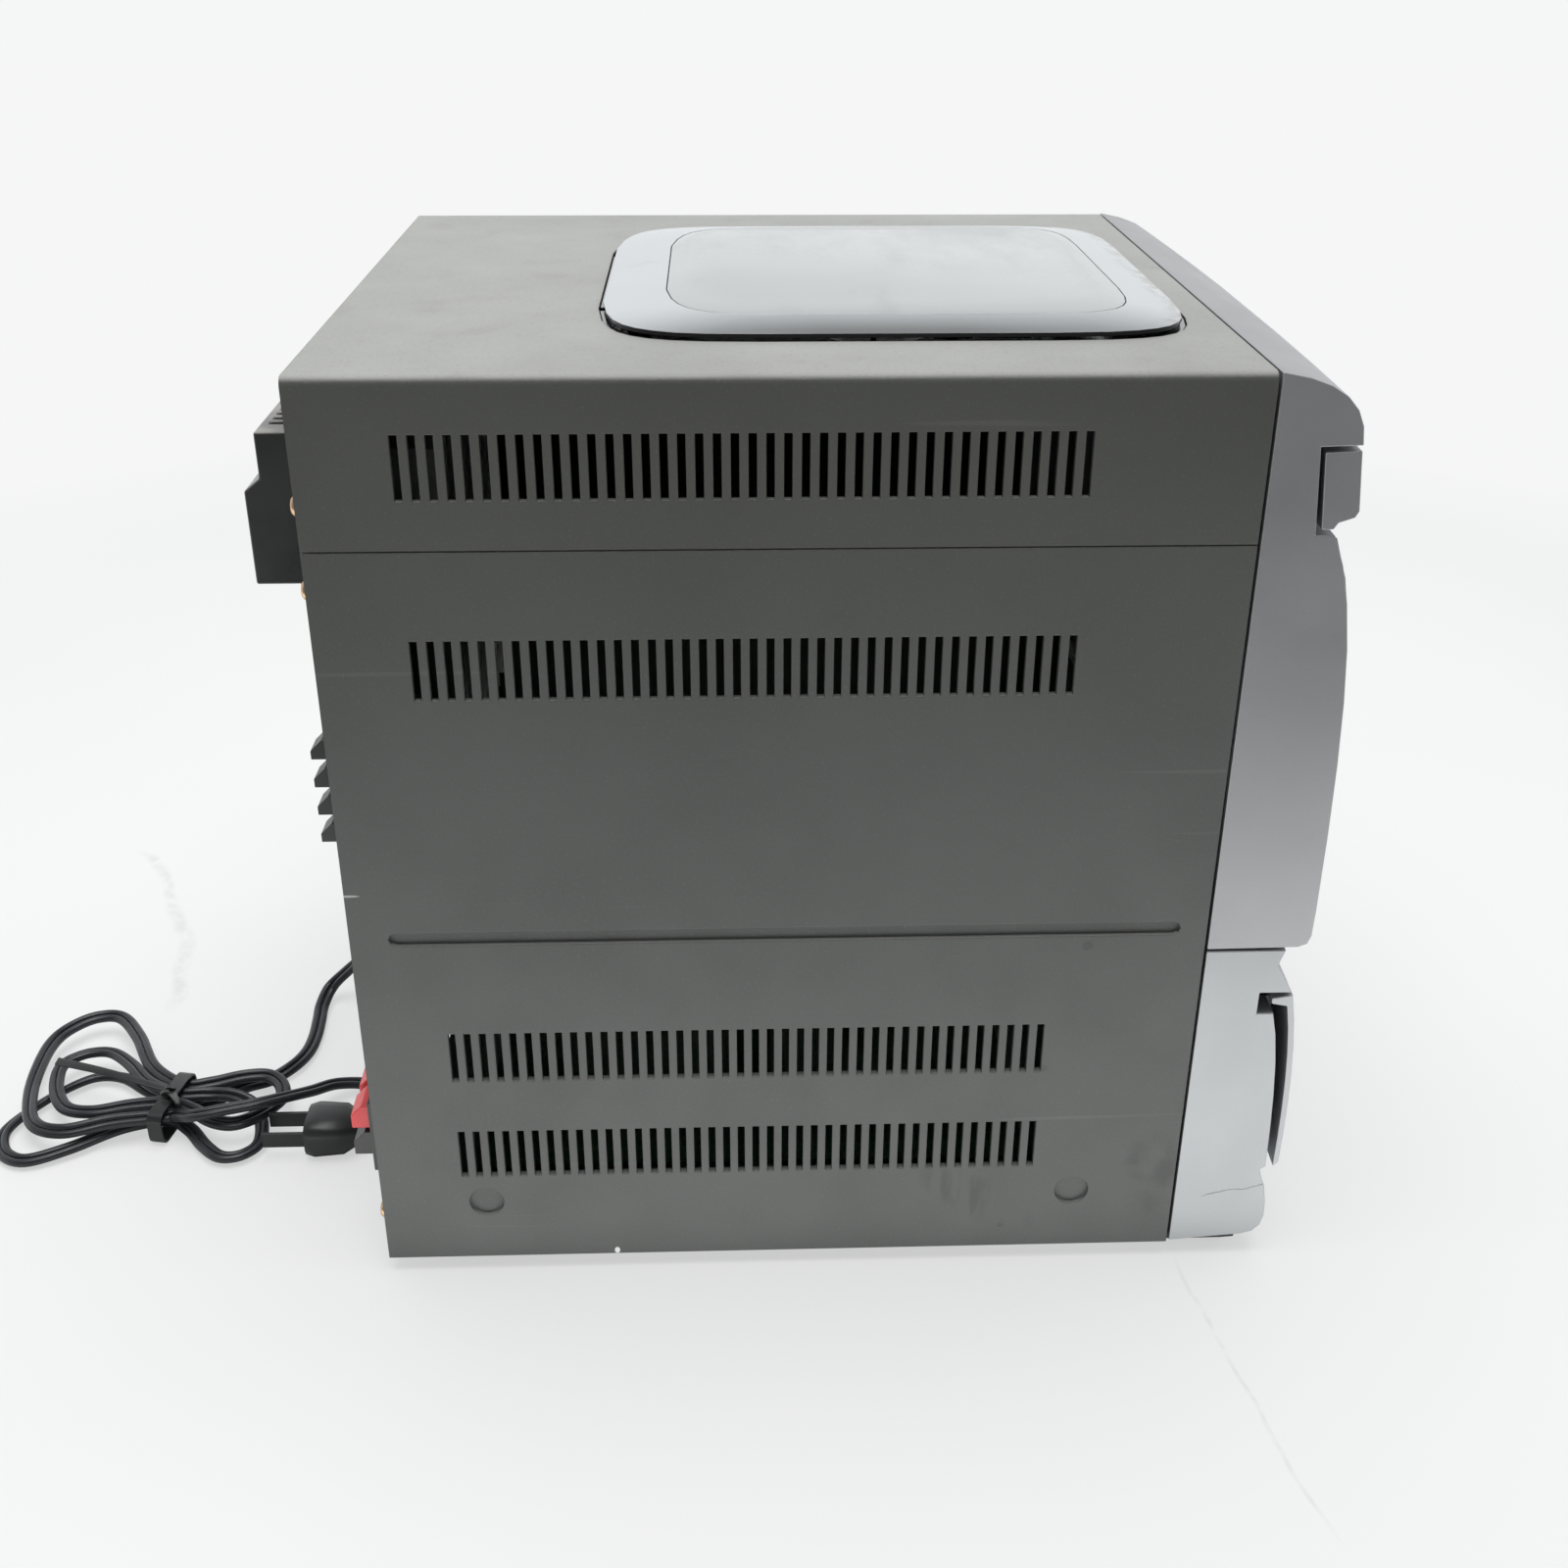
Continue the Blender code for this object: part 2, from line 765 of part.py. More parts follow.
def upper_profile():
    """The upper front moulding from its top edge down to its lower edge, with the key channel."""
    top = CASE_HEIGHT
    handles = [(NOSE_REACH * a, top - NOSE_REACH * b) for a, b in NOSE_HANDLE_SHARES]
    nose = bezier([(FASCIA_GAP, top), *handles, (NOSE_REACH, KEY_CHANNEL_TOP)], 6)
    channel = [
        (KEY_CHANNEL_REACH, KEY_CHANNEL_TOP - KEY_CHANNEL_RISE),
        (KEY_CHANNEL_BASE_REACH, KEY_CHANNEL_BASE),
    ]
    foot = [(FASCIA_REACH * a, FASCIA_SPLIT + FASCIA_REACH * b) for a, b in FOOT_SHARES[1:]]
    return nose + channel + face_points() + foot + [(FASCIA_GAP, FASCIA_SPLIT + SPLIT_GAP)]



def lower_profile():
    """The lower front moulding from its top edge down to its lower edge, with the door lip's channel."""
    top = FASCIA_SPLIT - SPLIT_GAP
    tall = top - LIP_CHANNEL_TOP
    neck = [(FASCIA_GAP, top)] + [(FASCIA_REACH * a, top - tall * b) for a, b in NECK_SHARES]
    channel = [
        (LIP_CHANNEL_REACH, LIP_CHANNEL_TOP),
        (LIP_CHANNEL_REACH, LIP_CHANNEL_BASE),
    ]
    span = LIP_CHANNEL_BASE - STEP_HEIGHT
    face = bezier([(FASCIA_REACH * a, STEP_HEIGHT + span * b) for a, b in LOWER_FACE_SHARES], 5)
    block = [(FASCIA_REACH * a, STEP_HEIGHT * b) for a, b in BLOCK_SHARES]
    return neck + channel + face + block + [(FASCIA_GAP, EMBED)]


def front_moulding(name, profile, finish):
    """A hollow front moulding: a profile of (reach, height) swept across the front, closed at both
    sides, open towards the case and thickened inwards."""
    bm = bmesh.new()
    rows = [[bm.verts.new(front_point(x, *p)) for p in profile] for x in stations(-SIDE, SIDE)]
    for row, following in zip(rows, rows[1:]):
        for i in range(len(profile) - 1):
            bm.faces.new((row[i], following[i], following[i + 1], row[i + 1]))
    left = bm.faces.new(reversed(rows[0]))
    right = bm.faces.new(rows[-1])
    bmesh.ops.recalc_face_normals(bm, faces=bm.faces)
    left.normal_update()
    if left.normal.x > 0:
        bmesh.ops.reverse_faces(bm, faces=bm.faces)
    mesh = bpy.data.meshes.new(name)
    bm.to_mesh(mesh)
    bm.free()
    obj = place(bpy.data.objects.new(name, mesh), PARTS, finish)
    wall = obj.modifiers.new("wall", "SOLIDIFY")
    wall.thickness = MOULDING_WALL
    wall.offset = -1
    wall.use_even_offset = True
    return obj


def surface_reach(height):
    """The reach of the upper moulding's face at a height."""
    face = face_points()
    for (a, high), (b, low) in zip(face, face[1:]):
        if low <= height <= high:
            return a + (b - a) * (high - height) / (high - low)
    return FASCIA_REACH


def front_skin(name, outwards, inwards, margin, group, finish=None):
    """A strip of the front's face from the key channel down past the lens, between two offsets."""
    top = KEY_CHANNEL_BASE - LENS_TOP_MARGIN + margin
    base = LENS_MIDDLE_HEIGHT - OVERRUN
    heights = [top + (base - top) * i / LENS_STEPS for i in range(LENS_STEPS + 1)]
    section = [(surface_reach(h) + outwards, h) for h in heights]
    section += [(surface_reach(h) - inwards, h) for h in reversed(heights)]
    rings = [[front_point(x, *p) for p in section] for x in stations(-SIDE, SIDE)]
    return lofted(name, rings, group, finish)


def lens_outline(margin):
    """The lens seen from the front: straight above and curved below, as (x, z)."""
    half = SIDE - LENS_SIDE_MARGIN + margin
    top = CASE_BASE + KEY_CHANNEL_BASE - LENS_TOP_MARGIN + OVERRUN
    low, side = LENS_MIDDLE_HEIGHT - margin, LENS_SIDE_HEIGHT - margin
    curve = [(half * s, CASE_BASE + low + (side - low) * s * s) for s in LENS_CURVE_SHARES]
    return curve + [(half, top), (-half, top)]


def make_upper_fascia():
    fascia = front_moulding("upper_fascia", upper_profile(), upper_silver())
    recess = front_skin("lens_recess", OVERRUN, LENS_THICKNESS - LENS_PROUD + GAP, GAP, TOOLS)
    edge = plate("lens_edge", lens_outline(GAP), CASE_FRONT - FRONT_REACH, CASE_FRONT, "Y", TOOLS)
    cut(fascia, keep(recess, edge))
    half, base = DISPLAY_WIDTH / 2, CASE_BASE + DISPLAY_CENTRE - DISPLAY_HEIGHT / 2
    far = CASE_FRONT - FRONT_REACH
    near = CASE_FRONT - CONTROL_REACH
    holes = [((-half, far, base), (half, near, base + DISPLAY_HEIGHT))]
    for low, high in key_edges():
        x0, x1, z0, z1 = stem_span((low + high) / 2, GAP)
        stem_end = CASE_FRONT - KEY_CHANNEL_BASE_REACH * crown_share(0) - OVERRUN
        holes.append(((x0, stem_end, z0), (x1, near, z1)))
    for x in play_key_places():
        wide, high = PLAY_KEY_WIDTH / 2 + GAP, PLAY_KEY_HEIGHT / 2 + GAP
        z = CASE_BASE + PLAY_KEY_LEVEL
        holes.append(((x - wide, far, z - high), (x + wide, near, z + high)))
    cut(fascia, boxes("fascia_holes", holes, TOOLS))
    for name, x, height, radius in (
        ("knob_hole", KNOB_SIDE, KNOB_HEIGHT, KNOB_RADIUS + KNOB_SPACE),
        ("power_hole", POWER_SIDE, POWER_HEIGHT, POWER_RADIUS + GAP),
    ):
        start = (x, near, CASE_BASE + height)
        cut(fascia, cylinder(name, start, FRONT_REACH, radius, "Y", TOOLS, sides=40))
    smooth(fascia)


def make_display_lens():
    lens = front_skin("display_lens", LENS_PROUD, LENS_THICKNESS - LENS_PROUD, 0, PARTS, lens_plastic())
    edge = plate("lens_shape", lens_outline(0), CASE_FRONT - FRONT_REACH, CASE_FRONT, "Y", TOOLS)
    smooth(keep(lens, edge))


def bay_centre(side):
    """The middle of a cassette door's share of the front; side is -1 or 1."""
    return side * SIDE / 2


def ear_box(side, inner, space=0.0):
    """One of the two lugs beside a cassette bay that hold the door's pins."""
    centre = bay_centre(side)
    x0 = centre + inner * (BAY_WIDTH / 2)
    x1 = x0 + inner * EAR_THICKNESS
    wide = max(abs(x0), abs(x1))
    front = CASE_FRONT - (FASCIA_REACH * EAR_FRONT_SHARE) * crown_share(wide)
    low = CASE_BASE + HINGE_HEIGHT - EAR_HEIGHT / 2
    return (
        (min(x0, x1), front, low),
        (max(x0, x1), CASE_FRONT + DECK_FRONT - GAP, low + EAR_HEIGHT),
    )


def make_lower_fascia():
    fascia = front_moulding("lower_fascia", lower_profile(), lower_silver())
    ears = boxes("door_ears", [ear_box(s, i) for s in (-1, 1) for i in (-1, 1)], TOOLS)
    bays = []
    for side in (-1, 1):
        centre = bay_centre(side)
        bays.append(
            (
                (centre - BAY_WIDTH / 2, CASE_FRONT - FRONT_REACH, CASE_BASE + BAY_BASE),
                (centre + BAY_WIDTH / 2, CASE_FRONT + DECK_FRONT - GAP, CASE_BASE + BAY_TOP),
            )
        )
    cut(fascia, boxes("cassette_bays", bays, TOOLS))
    add(fascia, ears)
    for side in (-1, 1):
        centre = bay_centre(side)
        outer = BAY_WIDTH / 2 + EAR_THICKNESS + OVERRUN
        start = (centre - outer, CASE_FRONT - HINGE_REACH, CASE_BASE + HINGE_HEIGHT)
        length = BAY_WIDTH + 2 * (EAR_THICKNESS + OVERRUN)
        cut(fascia, cylinder(f"pin_holes_{side}", start, length, TRUNNION_RADIUS + GAP, "X", TOOLS, sides=12))
    smooth(fascia)


def door_inner_curve():
    """The inner face of a cassette door as (reach, height), from its foot up."""
    span = DOOR_TOP - DOOR_BASE
    return bezier([(DOOR_REACH * a, DOOR_BASE + span * b) for a, b in DOOR_INNER_SHARES], 6)


def door_section():
    """A door where it stands, a little open: outer face, foot, inner face and lip, as (reach, height)."""
    span = DOOR_TOP - DOOR_BASE
    outer = bezier([(DOOR_REACH * a, DOOR_BASE + span * b) for a, b in DOOR_OUTER_SHARES], 6)
    foot = [(DOOR_REACH * a, DOOR_BASE + span * b) for a, b in DOOR_EDGE_SHARES]
    lip = DOOR_TOP - LIP_DROP
    return outer + foot + door_inner_curve() + [(LIP_REACH, lip - LIP_THICKNESS), (LIP_REACH, lip)]


def door_inner_reach(height):
    curve = door_inner_curve()
    for (a, low), (b, high) in zip(curve, curve[1:]):
        if low <= height <= high:
            return a + (b - a) * (height - low) / (high - low)
    return curve[-1][0]


def make_cassette_door(side, name):
    low = bay_centre(side) - SIDE / 2 + (DOOR_SPREAD / 2 if side > 0 else GAP)
    high = bay_centre(side) + SIDE / 2 - (DOOR_SPREAD / 2 if side < 0 else GAP)
    rings = [[front_point(x, *p) for p in door_section()] for x in stations(low, high, DOOR_STATIONS)]
    door = lofted(name, rings, PARTS, lower_silver())
    pivot_at(door, hinge_point(side))
    return smooth(door)


def hinge_point(side):
    return (bay_centre(side), CASE_FRONT - HINGE_REACH, CASE_BASE + HINGE_HEIGHT)


def make_cassette_holder(side, name):
    """The black pocket that carries a cassette, drawn upright and tilted with its door."""
    centre = bay_centre(side)
    half = HOLDER_WIDTH / 2
    front = CASE_FRONT - HOLDER_FRONT
    base = CASE_BASE + HINGE_HEIGHT - HOLDER_DROP
    low = (centre - half, front, base)
    high = (centre + half, front + HOLDER_DEPTH, base + HOLDER_HEIGHT)
    holder = box(name, low, high, PARTS, black_plastic())
    hollow_low = (centre - half + HOLDER_WALL, front + HOLDER_WALL, base + 2 * TRUNNION_RADIUS)
    hollow_back = front + HOLDER_DEPTH + OVERRUN
    hollow_high = (centre + half - HOLDER_WALL, hollow_back, base + HOLDER_HEIGHT + OVERRUN)
    window_half = half * HOLDER_WINDOW_SHARE
    window_low = (centre - window_half, front - OVERRUN, base + HOLDER_HEIGHT * HOLDER_SILL_SHARE)
    window_high = (centre + window_half, front + HOLDER_DEPTH, base + HOLDER_HEIGHT + OVERRUN)
    cut(holder, boxes(name + "_pocket", [(hollow_low, hollow_high)], TOOLS))
    cut(holder, boxes(name + "_window", [(window_low, window_high)], TOOLS))
    start = (centre - half - TRUNNION_LENGTH + GAP, CASE_FRONT - HINGE_REACH, CASE_BASE + HINGE_HEIGHT)
    length = HOLDER_WIDTH + 2 * (TRUNNION_LENGTH - GAP)
    add(holder, cylinder(name + "_pins", start, length, TRUNNION_RADIUS, "X", TOOLS, sides=12))
    tools = [m.object for m in holder.modifiers]
    turn = (
        Matrix.Translation(hinge_point(side))
        @ Matrix.Rotation(DOOR_AJAR, 4, "X")
        @ Matrix.Translation(-Vector(hinge_point(side)))
    )
    for tool in tools:
        tool.matrix_world = turn @ tool.matrix_world
    tilt_about(holder, hinge_point(side), DOOR_AJAR)
    for place_share in (-HOLDER_RIB_SPREAD_SHARE, HOLDER_RIB_SPREAD_SHARE):
        add(holder, holder_rib(f"{name}_rib_{place_share:+}", centre + half * place_share))


def holder_rib(name, middle):
    """A rib from the holder's front wall to the inside of its door."""
    rings = []
    for x in (middle - HOLDER_RIB / 2, middle + HOLDER_RIB / 2):
        outer, inner = [], []
        for height in (HOLDER_RIB_BASE, (HOLDER_RIB_BASE + HOLDER_RIB_TOP) / 2, HOLDER_RIB_TOP):
            z = CASE_BASE + height
            outer.append((x, CASE_FRONT - door_inner_reach(height) * crown_share(x) + GAP, z))
            lean = (height - HINGE_HEIGHT) * math.tan(DOOR_AJAR)
            inner.append((x, CASE_FRONT - HOLDER_FRONT - lean + HOLDER_WALL / 2, z))
        rings.append(outer + list(reversed(inner)))
    return lofted(name, rings, TOOLS)


def make_tape_mechanism(side, name):
    centre = bay_centre(side)
    front, back = CASE_FRONT + DECK_FRONT, CASE_FRONT + DECK_BACK
    base = CASE_BASE + DECK_BASE
    half = DECK_WIDTH / 2
    high = (centre + half, front + DECK_PLATE, base + DECK_HEIGHT)
    deck = box(name, (centre - half, front, base), high, PARTS, steel())
    body_half = half * DECK_BODY_SHARE
    body = box(
        name + "_body",
        (centre - body_half, front + DECK_PLATE / 2, base + DECK_HEIGHT * DECK_SILL_SHARE),
        (centre + body_half, back, base + DECK_HEIGHT - DECK_PLATE),
        TOOLS,
    )
    add(deck, body)
    for i in (-1, 1):
        start = (centre + i * HUB_SPACING / 2, front + HUB_SHAFT_DEPTH, CASE_BASE + HUB_LEVEL)
        hole = HUB_SHAFT_DEPTH + OVERRUN
        cut(deck, cylinder(f"{name}_bearing_{i}", start, hole, HUB_SHAFT_RADIUS + GAP, "Y", TOOLS, sides=12))


def make_reel_hub(side, place_share, name):
    """A splined reel hub on its shaft; the hub turns inside the cassette's reel."""
    x = bay_centre(side) + place_share * HUB_SPACING / 2
    front = CASE_FRONT + DECK_FRONT
    shaft = HUB_SHAFT_DEPTH - GAP
    flange = HUB_RADIUS * HUB_FLANGE_SHARE
    reach = HUB_REACH + DECK_FRONT
    profile = [
        (0, shaft + reach),
        (HUB_RADIUS * HUB_TIP_SHARE, shaft + reach),
        (HUB_RADIUS * HUB_CORE_SHARE, shaft + reach * HUB_NOSE_SHARE),
        (HUB_RADIUS * HUB_CORE_SHARE, shaft + GAP + HUB_FLANGE),
        (flange, shaft + GAP + HUB_FLANGE),
        (flange, shaft + GAP),
        (HUB_SHAFT_RADIUS, shaft + GAP),
        (HUB_SHAFT_RADIUS, 0),
        (0, 0),
    ]
    start = (x, front + shaft, CASE_BASE + HUB_LEVEL)
    hub = turned(name, profile, start, "Y", PARTS, black_plastic(), steps=12)
    for k in range(HUB_TEETH):
        turn = Matrix.Rotation(math.tau * k / HUB_TEETH, 4, "Z")
        low = Vector((0, -HUB_TOOTH / 2, shaft + HUB_FLANGE))
        high = Vector((HUB_RADIUS, HUB_TOOTH / 2, shaft + reach * HUB_NOSE_SHARE))
        tooth = box(f"{name}_tooth_{k}", low, high, TOOLS)
        tooth.matrix_world = Matrix.Translation(start) @ AXES["Y"] @ turn
        add(hub, tooth)
    return smooth(hub)


def front_reach(x, height):
    """The full reach of the upper moulding's face at a place on the front."""
    return surface_reach(height) * crown_share(x)


# Case panels
def u_outline(half, low, high, wall, radius):
    """An upside-down U, seen along Y, with rounded outer corners."""
    right = arc((half - radius, high - radius), radius, 0, 90, 4)
    left = arc((radius - half, high - radius), radius, 90, 180, 4)
    inner = half - wall
    return (
        [(half, low)]
        + right
        + left
        + [(-half, low), (-inner, low), (-inner, high - wall), (inner, high - wall), (inner, low)]
    )


def slot_row(x0, x1, height):
    """The cutters of one row of vent slots through a side wall between x0 and x1."""
    first = CASE_FRONT + SLOT_ROW_DEPTH - SLOT_PITCH * (SLOT_COUNT - 1) / 2
    low = CASE_BASE + height - SLOT_HEIGHT / 2
    rows = []
    for i in range(SLOT_COUNT):
        y = first + i * SLOT_PITCH
        rows.append(((x0, y - SLOT_WIDTH / 2, low), (x1, y + SLOT_WIDTH / 2, low + SLOT_HEIGHT)))
    return rows


def lid_outline(margin, count=LID_POINTS):
    """The disc lid from above, grown by a margin, as (x, y)."""
    found = []
    across, along = LID_HALF_WIDTH + margin, LID_HALF_LENGTH + margin
    for i in range(count):
        angle = math.tau * (i + 0.5) / count
        c, s = math.cos(angle), math.sin(angle)
        x = across * math.copysign(abs(c) ** (2 / LID_POWER), c)
        y = along * math.copysign(abs(s) ** (2 / LID_POWER), s)
        if s > 0:
            y -= LID_REAR_SAG * (x / LID_HALF_WIDTH) ** 2
        found.append((x, CASE_FRONT + LID_CENTRE + y))
    return found


def pane_outline(margin, count=LID_POINTS):
    """The window in the disc lid from above, as (x, y)."""
    found = []
    across, along = PANE_HALF_WIDTH + margin, PANE_HALF_LENGTH + margin
    for i in range(count):
        angle = math.tau * (i + 0.5) / count
        c, s = math.cos(angle), math.sin(angle)
        x = across * math.copysign(abs(c) ** (2 / LID_POWER), c)
        y = along * math.copysign(abs(s) ** (2 / LID_POWER), s)
        if s > 0:
            y -= PANE_SAG * (x / PANE_HALF_WIDTH) ** 2
        found.append((x, CASE_FRONT + PANE_CENTRE + y))
    return found


def make_top_cover():
    outline = u_outline(SIDE, SEAM + SEAM_GAP / 2, CASE_TOP, PANEL_WALL, TOP_EDGE_RADIUS)
    cover = plate("top_cover", outline, CASE_FRONT, CASE_BACK, "Y", PARTS, case_plastic())
    low, high = CASE_TOP - PANEL_WALL - OVERRUN, CASE_TOP + OVERRUN
    cut(cover, plate("lid_opening", lid_outline(LID_MARGIN), low, high, "Z", TOOLS))
    slots = []
    for side in (-1, 1):
        x0, x1 = sorted((side * (SIDE + OVERRUN), side * (INNER_SIDE - OVERRUN)))
        slots += slot_row(x0, x1, COVER_SLOT_HEIGHT)
    cut(cover, boxes("cover_slots", slots, TOOLS))
    smooth(cover)


def make_side_panel(side, name):
    top = SEAM - SEAM_GAP / 2
    x0, x1 = sorted((side * SIDE, side * INNER_SIDE))
    panel = box(name, (x0, CASE_FRONT, CASE_BASE), (x1, CASE_BACK, top), PARTS, case_plastic())
    inner = INNER_SIDE - GAP - SHEET
    rebate = [
        (side * inner, top - LIP_OVERLAP),
        (side * (INNER_SIDE + EMBED), top - LIP_OVERLAP),
        (side * (INNER_SIDE + EMBED), top - EMBED),
        (side * (INNER_SIDE - GAP), top - EMBED),
        (side * (INNER_SIDE - GAP), top + COVER_LIP),
        (side * inner, top + COVER_LIP),
    ]
    lip_front, lip_back = CASE_FRONT + PANEL_WALL, BACK_INNER - FLANGE_WIDTH
    add(panel, plate(name + "_lip", rebate, lip_front, lip_back, "Y", TOOLS))
    x0, x1 = sorted((side * (INNER_SIDE - FLANGE_WIDTH), side * (INNER_SIDE + EMBED)))
    back = BACK_INNER - GAP
    flanges = [
        ((x0, back - SHEET, CASE_BASE + low), (x1, back, CASE_BASE + high))
        for low, high in FLANGE_SPANS
    ]
    add(panel, boxes(name + "_flanges", flanges, TOOLS))
    x0, x1 = sorted((side * (SIDE + OVERRUN), side * (INNER_SIDE - OVERRUN)))
    slots = []
    for height in (UPPER_SLOT_HEIGHT, MIDDLE_SLOT_HEIGHT, LOWER_SLOT_HEIGHT):
        slots += slot_row(x0, x1, height)
    cut(panel, boxes(name + "_slots", slots, TOOLS))
    start, end = side * (SIDE - PRESSED_DEPTH), side * (SIDE + OVERRUN)
    front = CASE_FRONT + GROOVE_FRONT + GROOVE_WIDTH / 2
    back = CASE_FRONT + GROOVE_BACK - GROOVE_WIDTH / 2
    level = CASE_BASE + GROOVE_HEIGHT
    groove = arc((back, level), GROOVE_WIDTH / 2, -90, 90, 4)
    groove += arc((front, level), GROOVE_WIDTH / 2, 90, 270, 4)
    cut(panel, plate(name + "_groove", groove, min(start, end), max(start, end), "X", TOOLS))
    for place_back in (DIMPLE_FRONT, DIMPLE_BACK):
        centre = (min(start, end), CASE_FRONT + place_back, CASE_BASE + DIMPLE_HEIGHT)
        dimple = cylinder(f"{name}_dimple_{place_back}", centre, abs(end - start), DIMPLE_RADIUS, "X", TOOLS)
        cut(panel, dimple)
    smooth(panel)


def terminal_box(side, reach, width, top, height, space):
    """The body of a terminal block behind the back panel, with a margin for its cut-out."""
    margin = TERMINAL_BORDER / 2 + space
    return (
        (side - width / 2 - margin, CASE_BACK - reach, CASE_BASE + top - height - margin),
        (side + width / 2 + margin, CASE_BACK + TERMINAL_FACE / 2, CASE_BASE + top + margin),
    )


def antenna_size():
    """The side place, width, top and height of the antenna block's group of levers."""
    height = ANTENNA_PITCH * (ANTENNA_LEVERS - 1) + ANTENNA_LEVER_HEIGHT
    return ANTENNA_SIDE, ANTENNA_LEVER_WIDTH, ANTENNA_TOP, height


def speaker_size():
    """The side place, width, top and height of the speaker block's group of levers."""
    spread = SPEAKER_COLUMN_PITCH * (SPEAKER_COLUMNS - 1)
    height = SPEAKER_PITCH * (SPEAKER_ROWS - 1) + SPEAKER_LEVER_HEIGHT
    return SPEAKER_SIDE + spread / 2, SPEAKER_LEVER_WIDTH + spread, SPEAKER_TOP, height


def make_back_panel():
    half = INNER_SIDE - GAP
    low = (-half, BACK_INNER, CASE_BASE + GAP)
    high = (half, CASE_BACK, CASE_TOP - PANEL_WALL - GAP)
    panel = box("back_panel", low, high, PARTS, case_plastic())
    holes = []
    for side, width, top, height in (antenna_size(), speaker_size()):
        (x0, _, z0), (x1, _, z1) = terminal_box(side, 0, width, top, height, GAP)
        holes.append(((x0, BACK_INNER - OVERRUN, z0), (x1, CASE_BACK + OVERRUN, z1)))
    vent_low, vent_high = CASE_BASE + HEAT_COVER_BASE, CASE_BASE + HEAT_COVER_STEP
    inset = HEAT_COVER_WALL + TERMINAL_BORDER
    holes.append(
        (
            (-SINK_HALF_WIDTH, BACK_INNER - OVERRUN, vent_low + inset),
            (SINK_HALF_WIDTH, CASE_BACK + OVERRUN, vent_high - inset),
        )
    )
    cut(panel, boxes("back_openings", holes, TOOLS))
    start = (RELIEF_SIDE, CASE_BACK + OVERRUN, CASE_BASE + RELIEF_HEIGHT)
    cut(panel, cylinder("relief_hole", start, BACK_WALL + 2 * OVERRUN, RELIEF_RADIUS + GAP, "Y", TOOLS))


def make_bottom_plate():
    half = INNER_SIDE - GAP
    base = CASE_BASE
    outline = [
        (-half, base),
        (half, base),
        (half, base + BASE_FLANGE),
        (half - SHEET, base + BASE_FLANGE),
        (half - SHEET, base + SHEET),
        (SHEET - half, base + SHEET),
        (SHEET - half, base + BASE_FLANGE),
        (-half, base + BASE_FLANGE),
    ]
    back = BACK_INNER - SHEET - 2 * GAP
    tray = plate("bottom_plate", outline, CASE_FRONT + GAP, back, "Y", PARTS, steel())
    for i, (x, y) in enumerate(board_corners()):
        length = BOARD_LEVEL - SHEET - GAP + EMBED
        start = (x, y, base + SHEET - EMBED)
        add(tray, cylinder(f"standoff_{i}", start, length, STANDOFF_RADIUS, "Z", TOOLS, sides=12))


def board_corners():
    return [
        (x, CASE_FRONT + y)
        for x in (BOARD_LEFT + STANDOFF_INSET, BOARD_RIGHT - STANDOFF_INSET)
        for y in (BOARD_FRONT + STANDOFF_INSET, BOARD_BACK - STANDOFF_INSET)
    ]


def make_foot(name, side, front):
    """A moulded foot, chamfered towards the floor; front is its front edge behind the case's front."""
    top = CASE_BASE - GAP
    x1 = side * (SIDE - FOOT_INSET)
    x0 = x1 - side * FOOT_WIDTH
    x0, x1 = min(x0, x1), max(x0, x1)
    y0, y1 = CASE_FRONT + front, CASE_FRONT + front + FOOT_LENGTH
    c = FOOT_CHAMFER
    rings = [
        [(x0 + c, y0 + c, 0), (x1 - c, y0 + c, 0), (x1 - c, y1 - c, 0), (x0 + c, y1 - c, 0)],
        [(x0, y0, c), (x1, y0, c), (x1, y1, c), (x0, y1, c)],
        [(x0, y0, top), (x1, y0, top), (x1, y1, top), (x0, y1, top)],
    ]
    lofted(name, rings, PARTS, black_plastic())


# Heat sink and its cover
def heat_cover_outline(inset):
    """The stepped section of the heat sink's cover as (y, z), drawn in by an inset."""
    back = CASE_BACK + GAP
    deep, upper = HEAT_COVER_DEPTH - inset, HEAT_COVER_UPPER_DEPTH - inset
    top, base = CASE_BASE + HEAT_COVER_TOP - inset, CASE_BASE + HEAT_COVER_BASE + inset
    step = CASE_BASE + HEAT_COVER_STEP - inset / 2
    return [
        (back, top),
        (back + upper, top),
        (back + upper, step),
        (back + deep, step - HEAT_COVER_SLOPE),
        (back + deep, base),
        (back, base),
    ]


def make_heat_sink_cover():
    half = HEAT_COVER_HALF_WIDTH
    cover = plate("heat_sink_cover", heat_cover_outline(0), -half, half, "X", PARTS, black_plastic())
    inner = heat_cover_outline(HEAT_COVER_WALL)
    mouth = CASE_BACK - OVERRUN
    hollow = [(mouth, inner[0][1])] + inner[1:5] + [(mouth, inner[5][1])]
    wall = HEAT_COVER_WALL
    cut(cover, plate("heat_cover_hollow", hollow, wall - half, half - wall, "X", TOOLS))
    slots = []
    top = CASE_BASE + HEAT_COVER_TOP
    for i in range(HEAT_SLOT_COUNT):
        x = (i - (HEAT_SLOT_COUNT - 1) / 2) * HEAT_SLOT_PITCH
        low = (x - HEAT_SLOT_WIDTH / 2, CASE_BACK + HEAT_SLOT_FRONT, top - wall - OVERRUN)
        high = (x + HEAT_SLOT_WIDTH / 2, CASE_BACK + HEAT_SLOT_FRONT + HEAT_SLOT_LENGTH, top + OVERRUN)
        slots.append((low, high))
    cut(cover, boxes("heat_cover_slots", slots, TOOLS))


